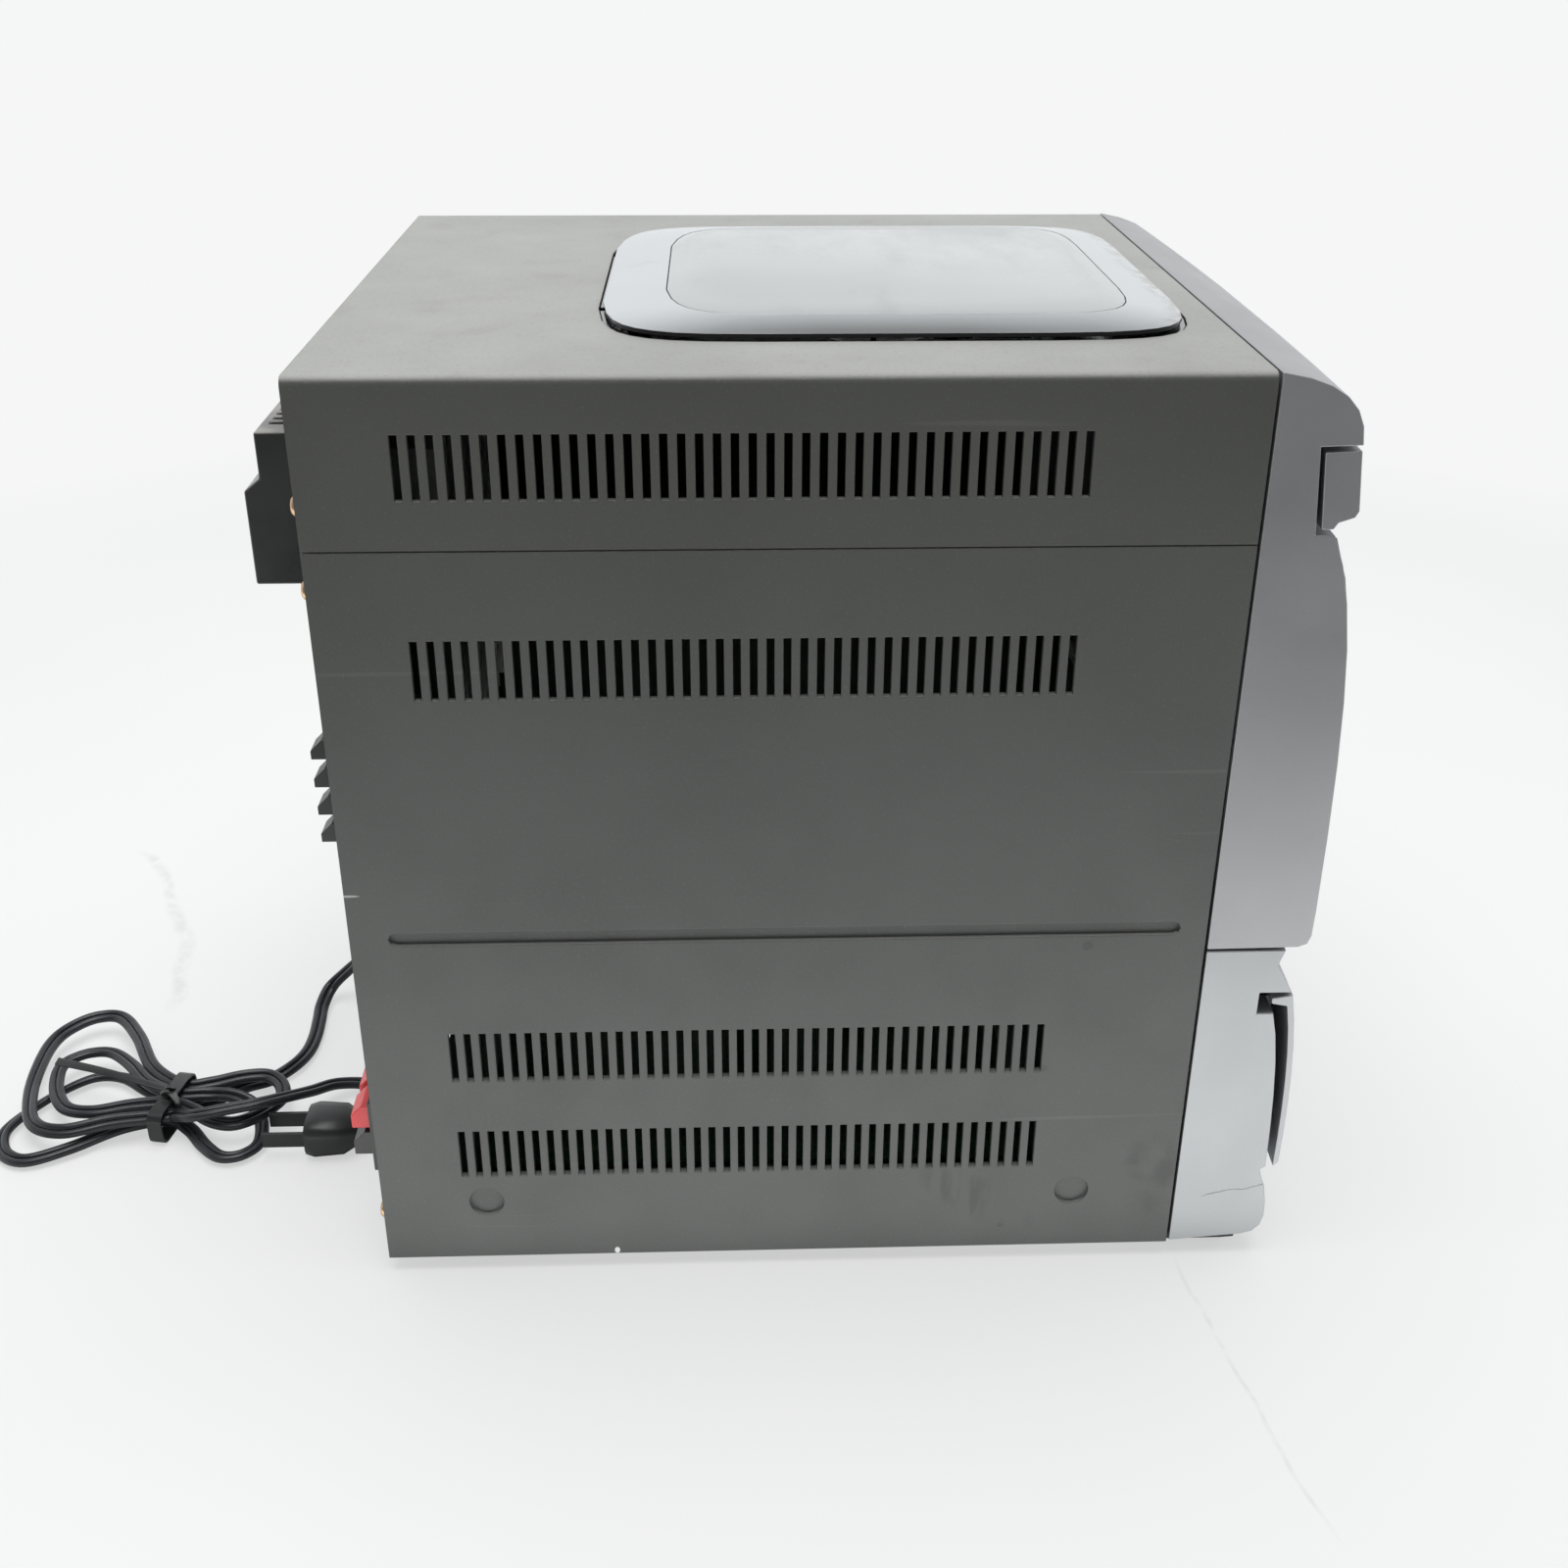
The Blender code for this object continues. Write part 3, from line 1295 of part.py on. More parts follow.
def make_heat_sink():
    """A finned extrusion, standing against the inside of the back panel."""
    back = BACK_INNER - GAP
    front = back - SINK_PLATE
    pitch = (2 * SINK_HALF_WIDTH - SINK_FIN) / (SINK_FINS - 1)
    outline = [(-SINK_HALF_WIDTH, back), (SINK_HALF_WIDTH, back)]
    for i in reversed(range(SINK_FINS)):
        x = i * pitch - SINK_HALF_WIDTH
        fin = [
            (x + SINK_FIN, front),
            (x + SINK_FIN, front - SINK_FIN_LENGTH),
            (x, front - SINK_FIN_LENGTH),
            (x, front),
        ]
        outline += fin[1:3] if i == SINK_FINS - 1 else fin[:3] if i == 0 else fin
    plate("heat_sink", outline, CASE_BASE + SINK_BASE, CASE_BASE + SINK_TOP, "Z", PARTS, aluminium())


# Terminal blocks and their levers
def make_terminal_block(name, size, levers, depth):
    """A block with a bordered face, a body through the back panel and a pocket for each lever."""
    side, width, top, height = size
    face = CASE_BACK + GAP
    low = (side - width / 2 - TERMINAL_BORDER, face, CASE_BASE + top - height - TERMINAL_BORDER)
    high = (side + width / 2 + TERMINAL_BORDER, face + TERMINAL_FACE, CASE_BASE + top + TERMINAL_BORDER)
    block = box(name, low, high, PARTS, black_plastic())
    low, high = terminal_box(side, TERMINAL_BODY, width, top, height, 0)
    add(block, box(name + "_body", low, high, TOOLS))
    pockets = []
    for x, z, wide, high_of_lever in levers:
        half = wide / 2 + LEVER_CLEARANCE
        pockets.append(
            (
                (x - half, face + TERMINAL_FACE - depth, z - LEVER_CLEARANCE),
                (x + half, face + TERMINAL_FACE + OVERRUN, z + high_of_lever + LEVER_CLEARANCE),
            )
        )
    cut(block, boxes(name + "_pockets", pockets, TOOLS))


def antenna_levers():
    """The x, lower z, width and height of each antenna lever, top to bottom."""
    first = CASE_BASE + ANTENNA_TOP - ANTENNA_LEVER_HEIGHT
    return [
        (ANTENNA_SIDE, first - i * ANTENNA_PITCH, ANTENNA_LEVER_WIDTH, ANTENNA_LEVER_HEIGHT)
        for i in range(ANTENNA_LEVERS)
    ]


def speaker_levers():
    """The x, lower z, width and height of each speaker lever, row by row."""
    first = CASE_BASE + SPEAKER_TOP - SPEAKER_LEVER_HEIGHT
    return [
        (
            SPEAKER_SIDE + j * SPEAKER_COLUMN_PITCH,
            first - i * SPEAKER_PITCH,
            SPEAKER_LEVER_WIDTH,
            SPEAKER_LEVER_HEIGHT,
        )
        for i in range(SPEAKER_ROWS)
        for j in range(SPEAKER_COLUMNS)
    ]


def make_lever(name, lever, reach, bevel, finish):
    """A clip lever with a chamfered tip; it swings about its lower edge at the block's face."""
    x, z, width, height = lever
    face = CASE_BACK + GAP + TERMINAL_FACE
    outline = [
        (face - LEVER_ROOT, z + LEVER_ROOT_RISE),
        (face, z),
        (face + reach, z),
        (face + reach, z + height - bevel),
        (face + reach - bevel, z + height),
        (face - LEVER_ROOT, z + height),
    ]
    obj = plate(name, outline, x - width / 2, x + width / 2, "X", PARTS, finish)
    pivot_at(obj, (x, face, z))


def pocket_depth(height):
    """How deep a lever's pocket is, so that its root can swing in."""
    return LEVER_ROOT + height * math.sin(LEVER_SWING) + LEVER_CLEARANCE


def make_terminals():
    antenna, speaker = antenna_levers(), speaker_levers()
    make_terminal_block("antenna_terminal_block", antenna_size(), antenna, pocket_depth(ANTENNA_LEVER_HEIGHT))
    make_terminal_block("speaker_terminal_block", speaker_size(), speaker, pocket_depth(SPEAKER_LEVER_HEIGHT))
    for i, lever in enumerate(antenna, 1):
        make_lever(f"antenna_lever_{i}", lever, ANTENNA_REACH, ANTENNA_BEVEL, black_plastic())
    finishes = (red_plastic(), black_plastic())
    for i, lever in enumerate(speaker, 1):
        finish = finishes[(i - 1) // SPEAKER_COLUMNS]
        make_lever(f"speaker_lever_{i}", lever, SPEAKER_REACH, SPEAKER_BEVEL, finish)


# Boards and transformer
def make_main_board():
    base = CASE_BASE + BOARD_LEVEL
    low = (BOARD_LEFT, CASE_FRONT + BOARD_FRONT, base)
    high = (BOARD_RIGHT, CASE_FRONT + BOARD_BACK, base + BOARD_THICKNESS)
    board = box("main_board", low, high, PARTS, board_green())
    top = base + BOARD_THICKNESS - EMBED
    pitch = (BOARD_BACK - BOARD_FRONT) / CHIP_COUNT
    chips = []
    for i in range(CHIP_COUNT):
        y = CASE_FRONT + BOARD_FRONT + (i + 0.5) * pitch
        x = BOARD_LEFT + (BOARD_RIGHT - BOARD_LEFT) * CHIP_SHARES[i]
        half = CHIP_WIDTH / 2
        chips.append(((x - half, y - half, top), (x + half, y + half, top + CHIP_HEIGHT)))
    add(board, boxes("board_chips", chips, TOOLS))
    for i, share in enumerate(CAN_SHARES):
        x = BOARD_LEFT + (BOARD_RIGHT - BOARD_LEFT) * share
        start = (x, CASE_FRONT + (BOARD_FRONT + BOARD_BACK) / 2, top)
        add(board, cylinder(f"board_can_{i}", start, CAN_HEIGHT, CAN_RADIUS, "Z", TOOLS, sides=16))


def make_transformer():
    """A laminated core round a coil, on its foot plate."""
    x, y = TRANSFORMER_SIDE, CASE_FRONT + TRANSFORMER_FRONT
    base = CASE_BASE + SHEET + GAP
    wide, long_half = TRANSFORMER_WIDTH / 2, TRANSFORMER_LENGTH / 2
    core_half = long_half - TRANSFORMER_COIL
    core = box(
        "power_transformer",
        (x - wide, y - core_half, base),
        (x + wide, y + core_half, base + TRANSFORMER_HEIGHT),
        PARTS,
        steel(),
    )
    coil = box(
        "transformer_coil",
        (x - wide + TRANSFORMER_COIL, y - long_half, base + TRANSFORMER_COIL),
        (x + wide - TRANSFORMER_COIL, y + long_half, base + TRANSFORMER_HEIGHT - TRANSFORMER_COIL),
        TOOLS,
    )
    foot = box(
        "transformer_foot",
        (x - wide - TRANSFORMER_EAR, y - core_half, base),
        (x + wide + TRANSFORMER_EAR, y + core_half, base + TRANSFORMER_FOOT),
        TOOLS,
    )
    add(core, coil)
    add(core, foot)


def make_control_board():
    """The upright board behind the front, with a switch for each key, the display and the encoder."""
    front, back = CASE_FRONT - CONTROL_REACH, CASE_FRONT - CONTROL_REACH + BOARD_THICKNESS
    base = CASE_BASE + FASCIA_SPLIT + SPLIT_GAP + MOULDING_WALL + GAP
    half = CONTROL_HALF_WIDTH
    high = (half, back, CASE_BASE + CONTROL_TOP)
    board = box("control_board", (-half, front, base), high, PARTS, board_green())
    face = front + EMBED
    tall = SWITCH_HEIGHT
    places = [(x, PLAY_KEY_LEVEL) for x in play_key_places()]
    places += [((low + high) / 2, KEY_STEM_LEVEL) for low, high in key_edges()]
    places.append((POWER_SIDE, POWER_HEIGHT))
    blocks = []
    for x, height in places:
        z = CASE_BASE + height
        s = SWITCH_SIDE / 2
        blocks.append(((x - s, front - tall, z - s), (x + s, face, z + s)))
    wide, high = DISPLAY_WIDTH / 2 + DISPLAY_BORDER, DISPLAY_HEIGHT / 2 + DISPLAY_BORDER
    z = CASE_BASE + DISPLAY_CENTRE
    blocks.append(((-wide, front - DISPLAY_DEPTH, z - high), (wide, face, z + high)))
    z = CASE_BASE + KNOB_HEIGHT
    s = ENCODER_SIDE / 2
    blocks.append(((KNOB_SIDE - s, front - ENCODER_DEPTH, z - s), (KNOB_SIDE + s, face, z + s)))
    add(board, boxes("board_parts", blocks, TOOLS))
    near = front - ENCODER_DEPTH + EMBED
    far = CASE_FRONT - FRONT_REACH + KNOB_SHELL + KNOB_DISH + GAP
    shaft = cylinder("encoder_shaft", (KNOB_SIDE, near, z), near - far, SHAFT_RADIUS, "Y", TOOLS, sides=16)
    add(board, shaft)


# Keys, knob and power button
def key_edges():
    """The x range of each function key."""
    pitch = (2 * SIDE + KEY_SPACE) / KEY_COUNT
    return [(i * pitch - SIDE, (i + 1) * pitch - SIDE - KEY_SPACE) for i in range(KEY_COUNT)]


def key_section():
    """The section of a function key as (reach, height): top, rounded front foot, then the back."""
    top, base = KEY_CHANNEL_TOP - KEY_TOP_SPACE, KEY_CHANNEL_BASE + KEY_BASE_SPACE
    tall = top - base
    rise = [(KEY_REACH * a, top - tall * b) for a, b in KEY_TOP_SHARES]
    front = [(KEY_REACH * a, top - tall * b) for a, b in KEY_FRONT_SHARES]
    back = [(KEY_CHANNEL_BASE_REACH + KEY_BACK_SPACE, base)]
    return rise + front + back


def stem_span(x, space):
    """The x and z limits of a function key's stem."""
    half, tall = KEY_STEM_WIDTH / 2 + space, KEY_STEM_HEIGHT / 2 + space
    z = CASE_BASE + KEY_STEM_LEVEL
    return x - half, x + half, z - tall, z + tall


def make_function_keys():
    section = key_section()
    stem_front = sum(p[0] for p in (section[0], section[-1])) / 2
    for i, (low, high) in enumerate(key_edges(), 1):
        rings = [[front_point(x, *p) for p in section] for x in stations(low, high, KEY_STATIONS)]
        key = lofted(f"function_key_{i}", rings, PARTS, upper_silver())
        x = (low + high) / 2
        x0, x1, z0, z1 = stem_span(x, 0)
        near = CASE_FRONT - CONTROL_REACH - SWITCH_HEIGHT - KEY_TRAVEL - GAP
        far = CASE_FRONT - (stem_front + EMBED) * crown_share(x)
        add(key, box(f"key_stem_{i}", (x0, far, z0), (x1, near, z1), TOOLS))
        pivot_at(key, (x, far, (z0 + z1) / 2))
        smooth(key)


def play_key_places():
    return [PLAY_KEY_START + i * PLAY_KEY_PITCH for i in range(PLAY_KEYS)]


def button_planes(x, half, height):
    """The y of a button's outer face, of its flange's front and of its stem's end."""
    outer = max(front_reach(x - half, height), front_reach(x + half, height)) + BUTTON_PROUD
    edge = half + BUTTON_LIP
    lowest = min(front_reach(x - edge, height + half), front_reach(x + edge, height + half))
    seat = lowest - MOULDING_WALL * WALL_SLOPE_SHARE - GAP
    stem = CONTROL_REACH + SWITCH_HEIGHT + BUTTON_TRAVEL + GAP
    return CASE_FRONT - outer, CASE_FRONT - seat, CASE_FRONT - stem


def make_play_keys():
    wide, high = PLAY_KEY_WIDTH / 2, PLAY_KEY_HEIGHT / 2
    z = CASE_BASE + PLAY_KEY_LEVEL
    for i, x in enumerate(play_key_places(), 1):
        face, seat, end = button_planes(x, wide, PLAY_KEY_LEVEL)
        low, top = (x - wide, face, z - high), (x + wide, seat + BUTTON_FLANGE / 2, z + high)
        key = rounded(box(f"play_key_{i}", low, top, PARTS, lower_silver()), BUTTON_EDGE, segments=1)
        lip = BUTTON_LIP
        flange_low = (x - wide - lip, seat, z - high - lip)
        flange_high = (x + wide + lip, seat + BUTTON_FLANGE, z + high + lip)
        flange = (flange_low, flange_high)
        s = BUTTON_STEM / 2
        stem = (x - s, seat + BUTTON_FLANGE / 2, z - s), (x + s, end, z + s)
        add(key, box(f"play_flange_{i}", *flange, TOOLS))
        add(key, box(f"play_stem_{i}", *stem, TOOLS))
        pivot_at(key, (x, face, z))


def make_power_button():
    x, z = POWER_SIDE, CASE_BASE + POWER_HEIGHT
    face, seat, end = button_planes(x, POWER_RADIUS, POWER_HEIGHT)
    total = end - face
    r, lip = POWER_RADIUS, BUTTON_LIP
    profile = [
        (0, total),
        (r - BUTTON_EDGE, total),
        (r, total - BUTTON_EDGE),
        (r, end - seat),
        (r + lip, end - seat),
        (r + lip, end - seat - BUTTON_FLANGE),
        (BUTTON_STEM / 2, end - seat - BUTTON_FLANGE),
        (BUTTON_STEM / 2, 0),
        (0, 0),
    ]
    smooth(turned("power_button", profile, (x, end, z), "Y", PARTS, lower_silver(), steps=18))


def make_volume_knob():
    """A hollow turned knob with a rolled rim and a hub on the encoder's shaft."""
    near = FRONT_REACH - KNOB_LENGTH
    start = (KNOB_SIDE, CASE_FRONT - near, CASE_BASE + KNOB_HEIGHT)
    r, tall = KNOB_RADIUS, KNOB_LENGTH
    bore_end = tall - KNOB_SHELL
    profile = [
        (0, tall - KNOB_DISH),
        (r * KNOB_DISH_SHARE, tall - KNOB_DISH),
        (r - 2 * KNOB_RIM, tall),
        (r - KNOB_RIM, tall),
        (r, tall - KNOB_RIM),
        (r, 0),
        (r - KNOB_SHELL, 0),
        (r - KNOB_SHELL, bore_end - KNOB_DISH),
        (KNOB_HUB, bore_end - KNOB_DISH),
        (KNOB_HUB, 0),
        (KNOB_BORE, 0),
        (KNOB_BORE, bore_end - KNOB_DISH),
        (0, bore_end - KNOB_DISH),
    ]
    smooth(turned("volume_knob", profile, start, "Y", PARTS, lower_silver(), steps=28))


# Disc lid, well and mechanism
def top_level(drop):
    """A height measured down from the top of the case."""
    return CASE_TOP - drop


def ring_at(outline, height):
    return [(x, y, height) for x, y in outline]


def axis_point():
    return (0, CASE_FRONT + LID_AXIS_BACK, top_level(LID_AXIS_DROP))


def stroke(points, half):
    """The outline of a bent bar of even width, with its centre line through the points."""
    left, right = [], []
    count = len(points)
    for i, point in enumerate(points):
        before = Vector(points[max(i - 1, 0)])
        after = Vector(points[min(i + 1, count - 1)])
        here = Vector(point)
        one = (here - before).normalized() if i else (after - here).normalized()
        two = (after - here).normalized() if i < count - 1 else one
        middle = (one + two).normalized()
        normal = Vector((-middle.y, middle.x))
        reach = half / max(normal.dot(Vector((-two.y, two.x))), MITRE_SHARE)
        left.append(tuple(here + normal * reach))
        right.append(tuple(here - normal * reach))
    return left + list(reversed(right))


def make_lid():
    crest = top_level(-LID_CREST)
    lid = lofted(
        "cd_lid",
        [
            ring_at(lid_outline(0), top_level(-LID_LIFT)),
            ring_at(lid_outline(0), top_level(-LID_LIFT - LID_SKIRT)),
            ring_at(pane_outline(0), crest),
        ],
        PARTS,
        lid_silver(),
    )
    ledge = crest - PANE_THICKNESS - GAP
    cut(lid, plate("pane_pocket", pane_outline(-PANE_BORDER + GAP), ledge, crest + OVERRUN, "Z", TOOLS))
    through = pane_outline(-PANE_BORDER - PANE_LEDGE)
    cut(lid, plate("pane_opening", through, top_level(OVERRUN), crest + OVERRUN, "Z", TOOLS))
    _, y, z = axis_point()
    spine = [(y + ARM_REACH * a, z + ARM_REACH * b) for a, b in ARM_SHARES]
    for side in (-1, 1):
        low, high = side * ARM_SIDE - ARM_THICKNESS / 2, side * ARM_SIDE + ARM_THICKNESS / 2
        add(lid, plate(f"lid_arm_{side}", stroke(spine, ARM_HALF_WIDTH), low, high, "X", TOOLS))
        eye = cylinder(f"lid_eye_{side}", (low, y, z), ARM_THICKNESS, ARM_RADIUS, "X", TOOLS, sides=12)
        add(lid, eye)
    start = (-ARM_SIDE - ARM_THICKNESS, y, z)
    length = 2 * (ARM_SIDE + ARM_THICKNESS)
    bore = LID_PIN_RADIUS + LID_PIN_CLEARANCE
    cut(lid, cylinder("lid_pin_bore", start, length, bore, "X", TOOLS, sides=12))
    pivot_at(lid, axis_point())
    smooth(lid)


def make_lid_window():
    crest = top_level(-LID_CREST)
    low = crest - PANE_THICKNESS
    rings = [
        ring_at(pane_outline(-PANE_BORDER), low),
        ring_at(pane_outline(-PANE_BORDER), crest),
        ring_at(pane_outline(-PANE_BORDER - PANE_SLOPE), crest + PANE_DOME),
    ]
    window = lofted("lid_window", rings, PARTS, lid_clear())
    pivot_at(window, axis_point())
    smooth(window)


def bracket_places():
    """The x range of each bracket beside the lid's arms."""
    inner = ARM_THICKNESS / 2 + GAP
    outer = inner + BRACKET_THICKNESS
    found = []
    for side in (-1, 1):
        centre = side * ARM_SIDE
        found += [(centre - outer, centre - inner), (centre + inner, centre + outer)]
    return found


def make_cd_well():
    centre = CASE_FRONT + LID_CENTRE
    rim = top_level(WELL_RIM_DROP)
    deck, floor = top_level(WELL_DEPTH - WELL_FLOOR_STEP), top_level(WELL_DEPTH)
    outer, inner = WELL_MARGIN, WELL_MARGIN - WELL_WALL
    well = lofted(
        "cd_well",
        [ring_at(lid_outline(outer), deck - WELL_WALL), ring_at(lid_outline(outer), rim)],
        PARTS,
        black_plastic(),
    )
    flange_top = top_level(PANEL_WALL + GAP)
    add(well, plate("well_flange", lid_outline(WELL_FLANGE), flange_top - WELL_WALL, flange_top, "Z", TOOLS))
    apron_back = CASE_FRONT + LID_AXIS_BACK + APRON_MARGIN
    apron_front = CASE_FRONT + LID_CENTRE + LID_HALF_LENGTH - LID_REAR_SAG
    apron_low = (-ARM_SIDE - APRON_SIDE, apron_front, flange_top - WELL_WALL)
    add(well, box("well_apron", apron_low, (ARM_SIDE + APRON_SIDE, apron_back, flange_top), TOOLS))
    low = (0, centre, floor - WELL_WALL)
    depth = deck - floor + WELL_WALL / 2
    pan = cylinder("well_pan", low, depth, WELL_FLOOR_RADIUS + WELL_WALL, "Z", TOOLS, sides=36)
    add(well, pan)
    cut(well, plate("well_hollow", lid_outline(inner), deck, rim + OVERRUN, "Z", TOOLS))
    depth = deck - floor + OVERRUN
    cut(well, cylinder("disc_recess", (0, centre, floor), depth, WELL_FLOOR_RADIUS, "Z", TOOLS, sides=36))
    below = floor - WELL_WALL - OVERRUN
    depth = WELL_WALL + 2 * OVERRUN
    cut(well, cylinder("spindle_hole", (0, centre, below), depth, WELL_SPINDLE_RADIUS, "Z", TOOLS))
    slot_front = centre - LASER_SLOT_START - LASER_SLOT_LENGTH
    slot_low = (-LASER_SLOT_WIDTH / 2, slot_front, below)
    slot_high = (LASER_SLOT_WIDTH / 2, centre - LASER_SLOT_START, below + depth)
    cut(well, box("laser_slot", slot_low, slot_high, TOOLS))
    brackets = []
    _, y, z = axis_point()
    for x0, x1 in bracket_places():
        low = (x0, y - BRACKET_HALF, z - BRACKET_HALF)
        brackets.append((low, (x1, y + BRACKET_HALF, flange_top - EMBED)))
    slots = []
    for side in (-1, 1):
        half = ARM_THICKNESS / 2 + ARM_SLOT_SPACE
        low = (side * ARM_SIDE - half, y - ARM_SLOT_REACH, below)
        slots.append((low, (side * ARM_SIDE + half, apron_back + OVERRUN, rim + OVERRUN)))
    cut(well, boxes("arm_slots", slots, TOOLS))
    add(well, boxes("pin_brackets", brackets, TOOLS))
    for i, (x0, x1) in enumerate(bracket_places()):
        start = (x0 - EMBED, y, z)
        length = x1 - x0 + 2 * EMBED
        cut(well, cylinder(f"pin_hole_{i}", start, length, LID_PIN_RADIUS + GAP, "X", TOOLS, sides=12))
    smooth(well)


def make_lid_pins():
    _, y, z = axis_point()
    places = bracket_places()
    start = (places[0][0] - PIN_TAIL, y, z)
    length = places[-1][1] - places[0][0] + 2 * PIN_TAIL
    smooth(cylinder("lid_hinge_pin", start, length, LID_PIN_RADIUS, "X", PARTS, steel(), sides=16))


def mechanism_top():
    """The top of the disc mechanism's base plate."""
    return top_level(WELL_DEPTH + WELL_WALL + POST_HEIGHT)


def make_cd_mechanism():
    centre = CASE_FRONT + LID_CENTRE
    top = mechanism_top()
    half, long_half = MECHANISM_WIDTH / 2, MECHANISM_LENGTH / 2
    base = box(
        "cd_mechanism",
        (-half, centre - long_half, top - MECHANISM_PLATE),
        (half, centre + long_half, top),
        PARTS,
        steel(),
    )
    inset = 2 * POST_RADIUS
    for i, (sx, sy) in enumerate(((-1, -1), (1, -1), (1, 1), (-1, 1))):
        x, y = sx * (half - inset), centre + sy * (long_half - inset)
        over_pan = math.hypot(x, y - centre) < WELL_FLOOR_RADIUS + WELL_WALL + POST_RADIUS
        rise = POST_HEIGHT - GAP + (0 if over_pan else WELL_FLOOR_STEP)
        post = cylinder(f"post_{i}", (x, y, top - EMBED), rise + EMBED, POST_RADIUS, "Z", TOOLS, sides=12)
        add(base, post)
    motor_top = MOTOR_HEIGHT + EMBED
    add(base, cylinder("motor", (0, centre, top - EMBED), motor_top, MOTOR_RADIUS, "Z", TOOLS))
    place = (0, centre, top)
    bore = cylinder("motor_bore", place, motor_top + OVERRUN, SPINDLE_RADIUS + GAP, "Z", TOOLS, sides=12)
    rear, front = rod_ends()
    blocks = []
    half = ROD_SPREAD / 2 + ROD_BLOCK / 2
    for y in (rear, front):
        low = (-half, y - ROD_BLOCK / 2, top - EMBED)
        blocks.append((low, (half, y + ROD_BLOCK / 2, top + ROD_LEVEL + ROD_BLOCK / 2)))
    add(base, boxes("rod_blocks", blocks, TOOLS))
    for side in (-1, 1):
        start = (side * ROD_SPREAD / 2, rear, top + ROD_LEVEL)
        add(base, cylinder(f"rod_{side}", start, rear - front, ROD_RADIUS, "Y", TOOLS, sides=12))
    cut(base, bore)


def rod_ends():
    """The y of the middles of the blocks that hold the sled's rods, rear and front."""
    centre = CASE_FRONT + LID_CENTRE
    room = SLED_LENGTH / 2 + ROD_BLOCK / 2 + SLED_ROOM
    return centre - SLED_START + room, centre - SLED_START - SLED_TRAVEL - room


def make_turntable():
    centre = CASE_FRONT + LID_CENTRE
    base = mechanism_top() + GAP
    platform = top_level(TURNTABLE_DROP) - base
    r, boss, shaft = TURNTABLE_RADIUS, TURNTABLE_BOSS_RADIUS, SPINDLE_RADIUS
    profile = [
        (0, platform + TURNTABLE_BOSS),
        (boss - TURNTABLE_BOSS / 2, platform + TURNTABLE_BOSS),
        (boss, platform + TURNTABLE_BOSS / 2),
        (boss, platform),
        (r, platform),
        (r, platform - TURNTABLE_DISC),
        (shaft, platform - TURNTABLE_DISC),
        (shaft, 0),
        (0, 0),
    ]
    start = (0, centre, base)
    smooth(turned("disc_turntable", profile, start, "Z", PARTS, black_plastic(), steps=20))


def make_laser_sled():
    centre = CASE_FRONT + LID_CENTRE
    y = centre - SLED_START
    z = mechanism_top() + ROD_LEVEL
    half, long_half, tall = SLED_WIDTH / 2, SLED_LENGTH / 2, SLED_HEIGHT / 2
    sled = box(
        "laser_sled",
        (-half, y - long_half, z - tall),
        (half, y + long_half, z + tall),
        PARTS,
        black_plastic(),
    )
    turret_top = top_level(TURNTABLE_DROP + TURRET_DROP)
    s = TURRET_SIDE / 2
    add(sled, box("lens_turret", (-s, y - s, z + tall - EMBED), (s, y + s, turret_top), TOOLS))
    place = (0, y, turret_top - EMBED)
    lens = cylinder("sled_lens", place, LENS_RISE + EMBED, LENS_RADIUS, "Z", TOOLS, sides=16)
    add(sled, lens)
    for side in (-1, 1):
        start = (side * ROD_SPREAD / 2, y + long_half + OVERRUN, z)
        length = SLED_LENGTH + 2 * OVERRUN
        bore = cylinder(f"sled_bore_{side}", start, length, ROD_RADIUS + GAP, "Y", TOOLS, sides=12)
        cut(sled, bore)
    pivot_at(sled, (0, y, z))


# Mains cord, its hank, relief, tie and plug
def relief_tip():
    return (RELIEF_SIDE, CASE_BACK + GAP + RELIEF_LENGTH, CASE_BASE + RELIEF_HEIGHT)


def make_strain_relief():
    x, tip, z = relief_tip()
    inside = BACK_WALL + RELIEF_FLANGE + GAP
    total = RELIEF_LENGTH + inside
    outer = total - RELIEF_LENGTH
    profile = [
        (0, total),
        (RELIEF_TIP_RADIUS, total),
        (RELIEF_RADIUS, outer + RELIEF_FLANGE),
        (RELIEF_FLANGE_RADIUS, outer + RELIEF_FLANGE),
        (RELIEF_FLANGE_RADIUS, outer),
        (RELIEF_RADIUS, outer),
        (RELIEF_RADIUS, 0),
        (0, 0),
    ]
    start = (x, tip - total, z)
    smooth(turned("cord_strain_relief", profile, start, "-Y", PARTS, black_plastic(), steps=16))


def curve_through(points, spacing):
    """Evenly spaced points on a smooth curve through the given ones, between two straight ends."""
    fine = []
    path = [Vector(p) for p in points]
    for a, b, c, d in zip(path, path[1:], path[2:], path[3:]):
        for i in range(ROUTE_STEPS):
            t = i / ROUTE_STEPS
            bend = (2 * a - 5 * b + 4 * c - d) * t * t + (3 * b - a - 3 * c + d) * t**3
            fine.append((2 * b + (c - a) * t + bend) / 2)
    fine.append(path[-2])
    lengths = [0.0]
    for a, b in zip(fine, fine[1:]):
        lengths.append(lengths[-1] + (b - a).length)
    count = max(round(lengths[-1] / spacing), 2)
    found = [path[0]]
    j = 0
    for i in range(count + 1):
        target = lengths[-1] * i / count
        while j < len(fine) - 2 and lengths[j + 1] < target:
            j += 1
        span = lengths[j + 1] - lengths[j]
        share = (target - lengths[j]) / span if span else 0
        found.append(fine[j].lerp(fine[j + 1], share))
    return found + [path[-1]]


